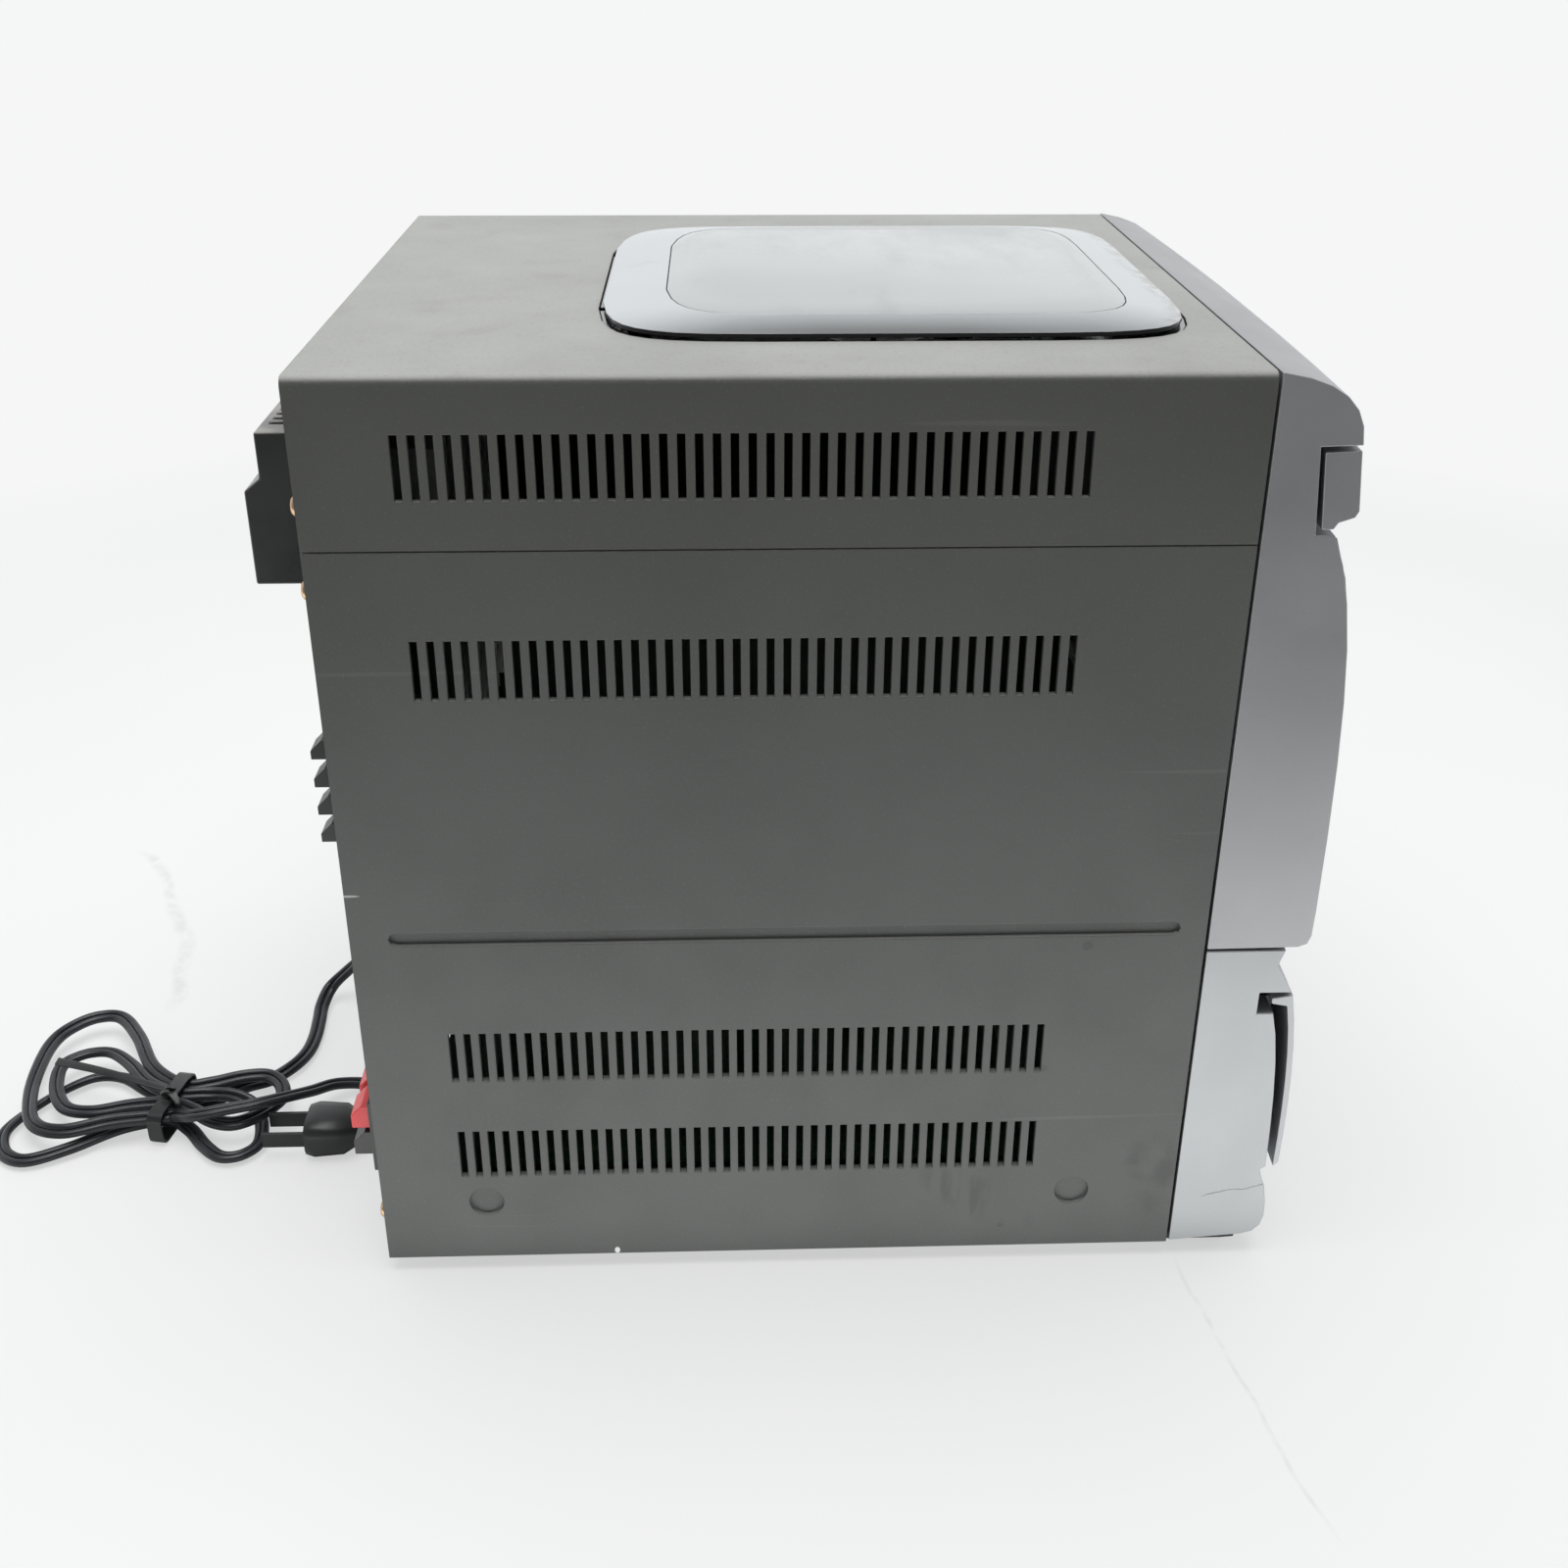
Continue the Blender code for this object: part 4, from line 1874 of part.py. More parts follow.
def tube(name, points, resolution=2):
    curve = bpy.data.curves.new(name, "CURVE")
    curve.dimensions = "3D"
    curve.bevel_depth = CORD_RADIUS
    curve.bevel_resolution = resolution
    curve.use_fill_caps = True
    line = curve.splines.new("POLY")
    line.points.add(len(points) - 1)
    for point, place_of in zip(line.points, points):
        point.co = (*place_of, 1)
    return place(bpy.data.objects.new(name, curve), PARTS, cord_black())


def hank_axis():
    """The directions across and along the hank on the floor."""
    c, s = math.cos(HANK_TURN), math.sin(HANK_TURN)
    return Vector((c, -s, 0)), Vector((s, c, 0))


def hank_points():
    """The cord through its loops, from one pass of the tie to the next, climbing a layer on one run."""
    across, along = hank_axis()
    centre = Vector((HANK_SIDE, CASE_BACK + HANK_BACK, 0))
    found = []
    climb_start, climb_end = HANK_CLIMB_SHARES
    for i in range(len(HANK_LOOPS) * HALF_LOOP_POINTS + 1):
        loop = min(i // HALF_LOOP_POINTS, len(HANK_LOOPS) - 1)
        turned_share = i / HALF_LOOP_POINTS - loop
        angle = math.pi * turned_share
        reach, half, lean = HANK_LOOPS[loop]
        (side, layer), (next_side, next_layer) = HANK_PLACES[loop : loop + 2]
        way = 1 if loop % 2 == 0 else -1
        c1, c3, c5 = (math.cos(k * angle) for k in (1, 3, 5))
        swell = (c1 - c3 + HANK_ROUND_SHARE * (c3 - c5)) / HANK_SWELL_PEAK
        place_of = HANK_PITCH * (side + (next_side - side) * (1 - c1) / 2)
        place_of += way * half * swell + lean * reach * math.sin(angle) ** 2
        climb = min(max((turned_share - climb_start) / (climb_end - climb_start), 0), 1)
        level = layer + (next_layer - layer) * (0.5 - 0.5 * math.cos(math.pi * climb))
        height = CORD_RADIUS + level * HANK_LAYER + HANK_LIFT * c1**4
        reached = way * reach * math.sin(angle)
        found.append(centre + across * place_of + along * reached + Vector((0, 0, height)))
    return found


def report_hank_gap(points):
    """Prints the least gap between the hank's turns, measured on points along it."""
    fine = []
    for a, b in zip(points, points[1:]):
        fine += [a.lerp(b, k / 4) for k in range(4)]
    lengths = [0.0]
    for a, b in zip(fine, fine[1:]):
        lengths.append(lengths[-1] + (b - a).length)
    least = min(
        (fine[i] - fine[j]).length
        for i in range(len(fine))
        for j in range(i)
        if lengths[i] - lengths[j] > HANK_SELF_SPAN
    )
    print(f"hank: length {lengths[-1]:.3f} m, least gap to itself {(least - 2 * CORD_RADIUS) * 1000:.2f} mm")


def make_cords():
    hank = hank_points()
    report_hank_gap(hank)
    tube("cord_hank", hank, resolution=1)
    start, end = hank[0], hank[-1]
    into = (hank[1] - hank[0]).normalized()
    out = (hank[-1] - hank[-2]).normalized()
    straight = 2 * CORD_RADIUS
    x, y, z = relief_tip()
    first = [Vector((x, y + GAP, z)), Vector((x, y + GAP + straight, z))]
    first += [case_floor_point(p) for p in CORD_ROUTE]
    first += [start - into * (GAP + straight), start - into * GAP]
    tube("mains_cord", curve_through(first, CORD_SPACING))
    second = [end + out * GAP, end + out * (GAP + straight)]
    second += [case_floor_point(p) for p in PLUG_ROUTE]
    rear = plug_rear()
    second += [rear - Vector((0, GAP + straight, 0)), rear - Vector((0, GAP, 0))]
    tube("plug_lead", curve_through(second, CORD_SPACING))


def case_floor_point(point):
    """A place on the cord's route: side, distance behind the case, and height of the cord's middle."""
    x, back, height = point
    return Vector((x, CASE_BACK + back, height))


def plug_rear():
    return Vector((PLUG_SIDE, CASE_BACK + PLUG_BACK, PLUG_HEIGHT / 2))


def make_cord_tie():
    """A flat tie round the hank's waist."""
    sides = [side * HANK_PITCH for side, _ in HANK_PLACES]
    middle = (min(sides) + max(sides)) / 2
    half = (max(sides) - min(sides)) / 2 + CORD_RADIUS + TIE_SIDE_GAP
    low = HANK_LIFT - TIE_GAP
    high = HANK_LIFT + HANK_LAYER + 2 * CORD_RADIUS + TIE_GAP
    radius = CORD_RADIUS

    def rounded_outline(grow):
        x, z0, z1, r = half + grow, low - grow, high + grow, radius + grow
        corners = ((x - r, z1 - r, 0), (r - x, z1 - r, 90), (r - x, z0 + r, 180), (x - r, z0 + r, 270))
        return [p for a, b, turn in corners for p in arc((middle + a, b), r, turn, turn + 90, 3)]

    wide = TIE_WIDTH / 2
    tie = plate("cord_tie", rounded_outline(TIE_THICKNESS), -wide, wide, "Y", PARTS, black_plastic())
    reach = TIE_WIDTH / 2 + OVERRUN
    bore = plate("tie_bore", rounded_outline(0), -reach, reach, "Y", TOOLS)
    spot = Matrix.Translation((HANK_SIDE, CASE_BACK + HANK_BACK, 0)) @ Matrix.Rotation(-HANK_TURN, 4, "Z")
    tie.matrix_world = spot
    bore.matrix_world = spot
    cut(tie, bore)


def make_plug():
    """A moulded plug with two flat blades, lying on the floor."""
    rear = plug_rear()
    x, y, z = rear
    profile = [(PLUG_LENGTH * a, PLUG_WIDTH / 2 * b, PLUG_HEIGHT / 2 * c) for a, b, c in PLUG_SHARES]
    rings = []
    for back, wide, tall in profile:
        ring = []
        for i in range(PLUG_SIDES):
            angle = math.tau * (i + 0.5) / PLUG_SIDES
            c, s = math.cos(angle), math.sin(angle)
            ring.append(
                (
                    x + wide * math.copysign(abs(c) ** PLUG_ROUND_SHARE, c),
                    y + back,
                    z + tall * math.copysign(abs(s) ** PLUG_ROUND_SHARE, s),
                )
            )
        rings.append(ring)
    plug = lofted("mains_plug", rings, PARTS, black_plastic())
    blades = []
    for side in (-1, 1):
        centre = x + side * BLADE_SPACING / 2
        half, tall = BLADE_THICKNESS / 2, BLADE_WIDTH / 2
        low = (centre - half, y + PLUG_LENGTH - EMBED, z - tall)
        blades.append((low, (centre + half, y + PLUG_LENGTH + BLADE_LENGTH, z + tall)))
    add(plug, boxes("plug_blades", blades, TOOLS))
    smooth(plug)


def build():
    make_top_cover()
    make_side_panel(-1, "left_side_panel")
    make_side_panel(1, "right_side_panel")
    make_back_panel()
    make_bottom_plate()
    for name, side in (("left", -1), ("right", 1)):
        make_foot(f"front_{name}_foot", side, -FOOT_FRONT_REACH)
        make_foot(f"rear_{name}_foot", side, CASE_DEPTH - FOOT_REAR_MARGIN - FOOT_LENGTH)
        make_cassette_door(side, f"{name}_cassette_door")
        make_cassette_holder(side, f"{name}_cassette_holder")
        make_tape_mechanism(side, f"{name}_tape_mechanism")
        make_reel_hub(side, -1, f"{name}_supply_hub")
        make_reel_hub(side, 1, f"{name}_take_up_hub")
    make_heat_sink_cover()
    make_heat_sink()
    make_terminals()
    make_main_board()
    make_transformer()
    make_upper_fascia()
    make_lower_fascia()
    make_display_lens()
    make_control_board()
    make_function_keys()
    make_play_keys()
    make_power_button()
    make_volume_knob()
    make_lid()
    make_lid_window()
    make_cd_well()
    make_lid_pins()
    make_cd_mechanism()
    make_turntable()
    make_laser_sled()
    make_strain_relief()
    make_cords()
    make_cord_tie()
    make_plug()


build()
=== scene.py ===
"""Looks of the mini hi-fi system: camera, cord, materials, details, floor and lights. Metres, +Z up."""

import json
import math

import bmesh
import bpy
from mathutils import Matrix, Vector


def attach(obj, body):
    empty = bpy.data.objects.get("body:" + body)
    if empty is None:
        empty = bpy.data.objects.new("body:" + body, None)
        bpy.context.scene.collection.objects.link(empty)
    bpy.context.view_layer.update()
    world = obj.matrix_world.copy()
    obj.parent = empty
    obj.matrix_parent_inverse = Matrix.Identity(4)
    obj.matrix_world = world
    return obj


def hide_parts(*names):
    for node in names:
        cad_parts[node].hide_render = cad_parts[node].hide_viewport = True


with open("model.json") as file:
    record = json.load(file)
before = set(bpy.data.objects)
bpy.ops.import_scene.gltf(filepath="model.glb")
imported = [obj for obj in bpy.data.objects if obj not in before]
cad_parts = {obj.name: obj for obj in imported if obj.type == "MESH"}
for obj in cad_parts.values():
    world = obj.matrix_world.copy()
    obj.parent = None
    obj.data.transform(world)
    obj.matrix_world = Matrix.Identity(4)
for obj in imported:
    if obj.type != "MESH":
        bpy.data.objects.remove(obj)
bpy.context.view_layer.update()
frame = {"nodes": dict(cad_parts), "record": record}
scene = bpy.context.scene
nodes = frame["nodes"]

# Colours as linear shares of red, green and blue
CASE_COLOUR = (0.085, 0.09, 0.087)
# The case's lighter colour where it faces up: partly dust, partly a painted sheen for its reflection at a
# grazing view
TOP_DUST_AND_SHEEN_COLOUR = (0.265, 0.267, 0.255)
UPPER_COLOUR = (0.335, 0.337, 0.35)
LOWER_COLOUR = (0.345, 0.358, 0.368)
LID_COLOUR = (0.5, 0.525, 0.545)
PANE_COLOUR = (0.35, 0.365, 0.37)
PAINT_METALLIC = 0.7
LID_METALLIC = 0.75
# Top of the black band on the lid's skirt: painted shade that widens the dark line of the gap under the lid
LID_SHADE_BAND_TOP = 0.00195
CASE_EDGE = 0.0006

# Lights: brightness of the floor for everything but the camera, and of the room around
FLOOR_SEEN = (0.915, 0.922, 0.917)
FLOOR_SEEN_SHARE = 0.6
FLOOR_TONE = 0.84
FLOOR_STRIP = 2.3
FLOOR_FAR = 0.2
FLOOR_STRIP_SPAN = (-0.58, -0.3)
ROOM_HORIZON = 1.0
ROOM_ABOVE = 0.4
ROOM_NEAR_SIDE = 0.3
LAMP_PLACE = (-0.05, 0.05, 1.7)
LAMP_SIZE = 1.3
LAMP_POWER = 26

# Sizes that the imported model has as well
GAP = 0.0003
CASE_BACK = 0.1534
CASE_TOP = 0.3193
HALF_WIDTH = 0.1318

# Camera, fitted to the case corners and the vent slots
CAMERA_PLACE = (-0.61733, 0.03225, 0.44127)
CAMERA_RIGHT = (-0.035, -0.9994, 0.0037)
CAMERA_UP = (0.4556, -0.0126, 0.8901)
CAMERA_LENS = 40.61
SENSOR = 36.0

# Cord
CORD_TUBE = 0.0026
CORD_STEPS = 24
CORD_SPACING = 0.0115
CORD_CORE = 0.0016
CORD_CORE_OFFSET = 0.00138
CORD_FINE = 0.0016
CORD_TWIST = 0.38
CORD_TWIST_SPANS = (0.31, 0.127)
RELIEF_TIP = (0.042, 0.1757, 0.026)
CORD_ROUTE = (
    (0.0425, 0.0400, 0.0195),
    (0.0428, 0.0487, 0.0104),
    (0.0381, 0.0553, 0.0050),
    (0.0235, 0.0551, 0.0033),
    (0.0088, 0.0544, 0.0028),
    (-0.0039, 0.0556, 0.0029),
    (-0.0141, 0.0599, 0.0033),
    (-0.0214, 0.0673, 0.0027),
    (-0.0273, 0.0763, 0.0038),
    (-0.0338, 0.0866, 0.0025),
)
PLUG_ROUTE = (
    (-0.0583, 0.0890, 0.0133),
    (-0.0576, 0.0801, 0.0150),
    (-0.0565, 0.0715, 0.0156),
    (-0.0536, 0.0632, 0.0154),
    (-0.0487, 0.0553, 0.0141),
    (-0.0421, 0.0482, 0.0115),
    (-0.0348, 0.0420, 0.0083),
    (-0.0287, 0.0358, 0.0063),
    (-0.0264, 0.0280, 0.0041),
    (-0.0278, 0.0198, 0.0031),
    (-0.0332, 0.0126, 0.0030),
    (-0.0425, 0.0084, 0.0035),
    (-0.0535, 0.0075, 0.0050),
)
PLUG_REAR = (-0.0605, 0.1719, 0.008)
HANK_CENTRE = (-0.0395, 0.2519, 0.0)
HANK_TURN = math.radians(10.5)
HANK_PLACES = ((0.5, 0), (-1.5, 0), (0, 1), (-1, 1), (1, 1), (-2.5, 1))
HANK_LOOPS = (
    (0.0612, 0.0243, -0.32),
    (0.0398, 0.0138, -0.28),
    (0.0559, 0.0182, 0.28),
    (0.0409, 0.0128, 0.15),
    (0.0679, 0.0316, 0.48),
)
HALF_LOOP_POINTS = 12
HANK_ROUND_SHARE = 0.29
HANK_SWELL_PEAK = 1.54
HANK_PITCH = 0.0058
HANK_LAYER = 0.0058
HANK_LIFT = 0.0016
HANK_CLIMB_SHARES = (0.67, 0.97)


def make_camera():
    right, up = Vector(CAMERA_RIGHT).normalized(), Vector(CAMERA_UP)
    up = (up - right * up.dot(right)).normalized()
    turn = Matrix((right, up, right.cross(up))).transposed().to_4x4()
    data = bpy.data.cameras.new("camera")
    data.lens = CAMERA_LENS
    data.sensor_width = SENSOR
    data.clip_start = 0.02
    camera = bpy.data.objects.new("camera", data)
    camera.matrix_world = Matrix.Translation(CAMERA_PLACE) @ turn
    scene.collection.objects.link(camera)
    scene.camera = camera


make_camera()


# Meshes
def new_object(name, mesh, smooth=True):
    mesh.name = name
    made = bpy.data.objects.new(name, mesh)
    scene.collection.objects.link(made)
    if smooth:
        mesh.shade_smooth()
    return made


def from_bmesh(name, bm, smooth=True):
    bmesh.ops.recalc_face_normals(bm, faces=bm.faces)
    mesh = bpy.data.meshes.new(name)
    bm.to_mesh(mesh)
    bm.free()
    return new_object(name, mesh, smooth)


def loft(bm, rings, closed_ends=True):
    """Joins rings of equally many points into a skin."""
    made = [[bm.verts.new(p) for p in ring] for ring in rings]
    count = len(made[0])
    for a, b in zip(made, made[1:]):
        for i in range(count):
            j = (i + 1) % count
            bm.faces.new((a[i], a[j], b[j], b[i]))
    if closed_ends:
        bm.faces.new(made[0][::-1])
        bm.faces.new(made[-1])
    return made


def block(bm, low, high):
    corners = [(x, y, z) for x in (low[0], high[0]) for y in (low[1], high[1]) for z in (low[2], high[2])]
    v = [bm.verts.new(p) for p in corners]
    for face in ((0, 1, 3, 2), (4, 6, 7, 5), (0, 4, 5, 1), (2, 3, 7, 6), (0, 2, 6, 4), (1, 5, 7, 3)):
        bm.faces.new([v[i] for i in face])


def bevelled(piece, width, segments=2, angle=35):
    bevel = piece.modifiers.new("edges", "BEVEL")
    bevel.width = width
    bevel.segments = segments
    bevel.limit_method = "ANGLE"
    bevel.angle_limit = math.radians(angle)
    bevel.use_clamp_overlap = False
    bevel.harden_normals = True
    return piece


# Cord
def curve_through(points, spacing):
    """Evenly spaced points on a smooth curve through the given ones, between two straight ends."""
    fine = []
    path = [Vector(p) for p in points]
    for a, b, c, d in zip(path, path[1:], path[2:], path[3:]):
        for i in range(CORD_STEPS):
            t = i / CORD_STEPS
            bend = (2 * a - 5 * b + 4 * c - d) * t * t + (3 * b - a - 3 * c + d) * t**3
            fine.append((2 * b + (c - a) * t + bend) / 2)
    fine.append(path[-2])
    lengths = [0.0]
    for a, b in zip(fine, fine[1:]):
        lengths.append(lengths[-1] + (b - a).length)
    count = max(round(lengths[-1] / spacing), 2)
    found = [path[0]]
    j = 0
    for i in range(count + 1):
        target = lengths[-1] * i / count
        while j < len(fine) - 2 and lengths[j + 1] < target:
            j += 1
        span = lengths[j + 1] - lengths[j]
        found.append(fine[j].lerp(fine[j + 1], (target - lengths[j]) / span if span else 0))
    return found + [path[-1]]


def hank_axis():
    """The directions across and along the hank on the floor."""
    c, s = math.cos(HANK_TURN), math.sin(HANK_TURN)
    return Vector((c, -s, 0)), Vector((s, c, 0))


def hank_points():
    """The cord through its loops, from one pass of the tie to the next, climbing a layer on one run."""
    across, along = hank_axis()
    found = []
    climb_start, climb_end = HANK_CLIMB_SHARES
    for i in range(len(HANK_LOOPS) * HALF_LOOP_POINTS + 1):
        loop = min(i // HALF_LOOP_POINTS, len(HANK_LOOPS) - 1)
        turned_share = i / HALF_LOOP_POINTS - loop
        angle = math.pi * turned_share
        reach, half, lean = HANK_LOOPS[loop]
        (side, layer), (next_side, next_layer) = HANK_PLACES[loop : loop + 2]
        way = 1 if loop % 2 == 0 else -1
        c1, c3, c5 = (math.cos(k * angle) for k in (1, 3, 5))
        swell = (c1 - c3 + HANK_ROUND_SHARE * (c3 - c5)) / HANK_SWELL_PEAK
        place_of = HANK_PITCH * (side + (next_side - side) * (1 - c1) / 2)
        place_of += way * half * swell + lean * reach * math.sin(angle) ** 2
        climb = min(max((turned_share - climb_start) / (climb_end - climb_start), 0), 1)
        level = layer + (next_layer - layer) * (0.5 - 0.5 * math.cos(math.pi * climb))
        height = CORD_TUBE + level * HANK_LAYER + HANK_LIFT * c1**4
        reached = way * reach * math.sin(angle)
        found.append(Vector(HANK_CENTRE) + across * place_of + along * reached + Vector((0, 0, height)))
    return found


def behind_case(points):
    return [Vector((x, CASE_BACK + back, z)) for x, back, z in points]


def cord_route():
    """The whole cord: from the relief to the hank, through its loops, and on to the plug."""
    hank = hank_points()
    into = (hank[1] - hank[0]).normalized()
    out = (hank[-1] - hank[-2]).normalized()
    straight = 2 * CORD_TUBE
    tip, rear = Vector(RELIEF_TIP), Vector(PLUG_REAR)
    back = Vector((0, 1, 0))
    first = [tip + back * GAP, tip + back * (GAP + straight)] + behind_case(CORD_ROUTE)
    first += [hank[0] - into * (GAP + straight), hank[0] - into * GAP]
    second = [hank[-1] + out * GAP, hank[-1] + out * (GAP + straight)] + behind_case(PLUG_ROUTE)
    second += [rear - back * (GAP + straight), rear - back * GAP]
    rough = curve_through(first, CORD_SPACING)[:-1] + hank + curve_through(second, CORD_SPACING)[1:]
    fine = curve_through([2 * rough[0] - rough[1]] + rough + [2 * rough[-1] - rough[-2]], CORD_FINE)
    return fine[1:-1]


def twin_section():
    """Half widths of the flat twin cord, as (across, up), round two cores that meet in a groove."""
    found = []
    for side in (1, -1):
        for i in range(13):
            angle = math.radians(-150 + 25 * i) if side == 1 else math.radians(30 + 25 * i)
            found.append((side * CORD_CORE_OFFSET + CORD_CORE * math.cos(angle), CORD_CORE * math.sin(angle)))
    return found


def sweep(name, path, section, twist):
    bm = bmesh.new()
    rings = []
    travelled = 0.0
    for i, point in enumerate(path):
        if i:
            travelled += (point - path[i - 1]).length
        ahead = (path[min(i + 1, len(path) - 1)] - path[max(i - 1, 0)]).normalized()
        side = ahead.cross(Vector((0, 0, 1))).normalized()
        up = side.cross(ahead)
        turn = twist(travelled)
        c, s = math.cos(turn), math.sin(turn)
        rings.append([point + side * (a * c - b * s) + up * (a * s + b * c) for a, b in section])
    loft(bm, rings)
    return from_bmesh(name, bm), travelled


def cord_twist(travelled):
    first, second = CORD_TWIST_SPANS
    return CORD_TWIST * (
        math.sin(math.tau * travelled / first) + 0.6 * math.sin(math.tau * travelled / second + 1)
    )


route = cord_route()
cord, cord_length = sweep("twin_cord", route, twin_section(), cord_twist)
print("cord length", round(cord_length, 4))


# Materials
class Graph:
    """A new material with helpers that add and join its nodes."""

    def __init__(self, name):
        self.material = bpy.data.materials.new(name)
        self.material.use_nodes = True
        self.tree = self.material.node_tree
        self.shader = self.tree.nodes["Principled BSDF"]
        self.output = self.tree.nodes["Material Output"]
        coordinates = self.tree.nodes.new("ShaderNodeTexCoord")
        self.place = coordinates.outputs["Object"]
        self.normal = coordinates.outputs["Normal"]

    def join(self, source, target):
        if isinstance(source, bpy.types.NodeSocket):
            self.tree.links.new(source, target)
        else:
            target.default_value = source

    def add(self, kind, inputs, **settings):
        node = self.tree.nodes.new("ShaderNode" + kind)
        for name, value in settings.items():
            setattr(node, name, value)
        for name, value in inputs.items():
            self.join(value, node.inputs[name])
        return node

    def noise(self, scale, detail=3.0, place=None, stretch=None):
        place = place or self.place
        if stretch:
            place = self.add("Mapping", {"Vector": place, "Scale": stretch}).outputs[0]
        return self.add("TexNoise", {"Vector": place, "Scale": scale, "Detail": detail}).outputs["Fac"]

    def ramp(self, source, low, high, to_low=0.0, to_high=1.0):
        inputs = {"Value": source, "From Min": low, "From Max": high, "To Min": to_low, "To Max": to_high}
        return self.add("MapRange", inputs).outputs[0]

    def maths(self, operation, a, b=0.0, c=0.0):
        node = self.tree.nodes.new("ShaderNodeMath")
        node.operation = operation
        for socket, value in zip(node.inputs, (a, b, c)):
            self.join(value, socket)
        return node.outputs[0]

    def mix(self, share, a, b):
        node = self.tree.nodes.new("ShaderNodeMix")
        node.data_type = "RGBA"
        self.join(share, node.inputs[0])
        self.join(self.colour(a), node.inputs[6])
        self.join(self.colour(b), node.inputs[7])
        return node.outputs[2]

    def colour(self, value):
        return value if isinstance(value, bpy.types.NodeSocket) else (*value[:3], 1.0)

    def axis(self, source, name):
        return self.add("SeparateXYZ", {0: source}).outputs[name]

    def bump(self, height, distance, strength=1.0, normal=None):
        inputs = {"Height": height, "Distance": distance, "Strength": strength}
        if normal:
            inputs["Normal"] = normal
        return self.add("Bump", inputs).outputs[0]

    def finish(self, colour, roughness, normal=None, **sockets):
        self.join(self.colour(colour), self.shader.inputs["Base Color"])
        self.join(roughness, self.shader.inputs["Roughness"])
        if normal:
            self.join(normal, self.shader.inputs["Normal"])
        for name, value in sockets.items():
            self.shader.inputs[name.replace("_", " ").title().replace("Ior", "IOR")].default_value = value
        return self.material


def scaled(colour, share):
    return tuple(c * share for c in colour)


def spot(g, y, z, half_y, half_z, lean=0.0):
    """How near a place on the left side is to a mark's centre, from 1 there to 0 at its rim."""
    along = g.maths("SUBTRACT", g.axis(g.place, "Y"), y)
    up = g.maths("SUBTRACT", g.axis(g.place, "Z"), z)
    leaned = g.maths("MULTIPLY_ADD", along, -lean, up)
    a = g.maths("POWER", g.maths("DIVIDE", along, half_y), 2.0)
    b = g.maths("POWER", g.maths("DIVIDE", leaned, half_z), 2.0)
    return g.ramp(g.maths("ADD", a, b), 0.4, 1.0, 1.0, 0.0)


def case_finish():
    """Textured dark grey plastic, scuffed low on the left side. Where it faces up it is lighter, partly dust
    and fading, partly a painted sheen for the reflection of the bright room at a grazing view.
    """
    g = Graph("case_textured")
    base = CASE_COLOUR
    grain = g.noise(1100, 2)
    cloud = g.noise(14, 4)
    patch = g.noise(45, 5)
    colour = g.mix(g.ramp(cloud, 0.35, 0.65), scaled(base, 0.93), scaled(base, 1.07))
    warm = g.ramp(g.axis(g.place, "Z"), 0.2, 0.31, 0, 0.6)
    colour = g.mix(warm, colour, (base[0] * 1.02, base[1] * 0.98, base[2] * 0.88))
    colour = g.mix(g.ramp(grain, 0.58, 0.74, 0, 0.3), colour, scaled(base, 1.8))
    side = g.maths("LESS_THAN", g.axis(g.place, "X"), 0.01 - HALF_WIDTH)
    streaks = g.ramp(g.noise(170, 3, stretch=(1.0, 1.0, 0.16)), 0.5, 0.62)
    scuff = g.maths("MULTIPLY", spot(g, -0.054, 0.028, 0.022, 0.011, 0.5), streaks)
    second = g.maths("MULTIPLY", spot(g, -0.114, 0.037, 0.012, 0.02), g.ramp(patch, 0.48, 0.6))
    scuff = g.maths("MULTIPLY", g.maths("MAXIMUM", scuff, second), side)
    colour = g.mix(g.maths("MULTIPLY", scuff, 0.55), colour, scaled(base, 0.55))
    for y, z, size in ((-0.085, 0.1318, 0.0022), (-0.074, 0.0832, 0.0016), (-0.0631, 0.0152, 0.0012)):
        dot = g.maths("MULTIPLY", spot(g, y, z, size, size), side)
        colour = g.mix(g.maths("MULTIPLY", dot, 0.4), colour, scaled(base, 0.5))
    chips = g.maths("MULTIPLY", spot(g, 0.0728, 0.0074, 0.0011, 0.0016), side)
    nick = g.maths("MULTIPLY", spot(g, 0.152, 0.1545, 0.004, 0.0005), side)
    colour = g.mix(g.maths("MAXIMUM", chips, g.maths("MULTIPLY", nick, 0.4)), colour, (0.85, 0.85, 0.84))
    # Painted sheen: faces that look up take a lighter colour in place of the grazing reflection of the bright
    # room, with dust and fading mixed in
    up = g.ramp(g.axis(g.normal, "Z"), 0.5, 0.95)
    faded = g.mix(g.ramp(cloud, 0.3, 0.7), TOP_DUST_AND_SHEEN_COLOUR, scaled(TOP_DUST_AND_SHEEN_COLOUR, 1.16))
    faded = g.mix(g.ramp(g.noise(900, 2), 0.55, 0.75, 0, 0.3), faded, scaled(TOP_DUST_AND_SHEEN_COLOUR, 0.55))
    faded = g.mix(g.ramp(patch, 0.6, 0.8, 0, 0.3), faded, (0.2, 0.19, 0.175))
    colour = g.mix(up, colour, faded)
    scratch = g.noise(22, 2, stretch=(1.0, 0.25, 9.0))
    colour = g.mix(g.ramp(scratch, 0.72, 0.76, 0, 0.12), colour, (0.25, 0.25, 0.24))
    roughness = g.ramp(patch, 0.3, 0.7, 0.46, 0.58)
    softened = g.add("Bevel", {"Radius": CASE_EDGE}, samples=4).outputs[0]
    normal = g.bump(grain, 0.00014, 0.6, softened)
    return g.finish(colour, roughness, normal, specular_ior_level=0.45)


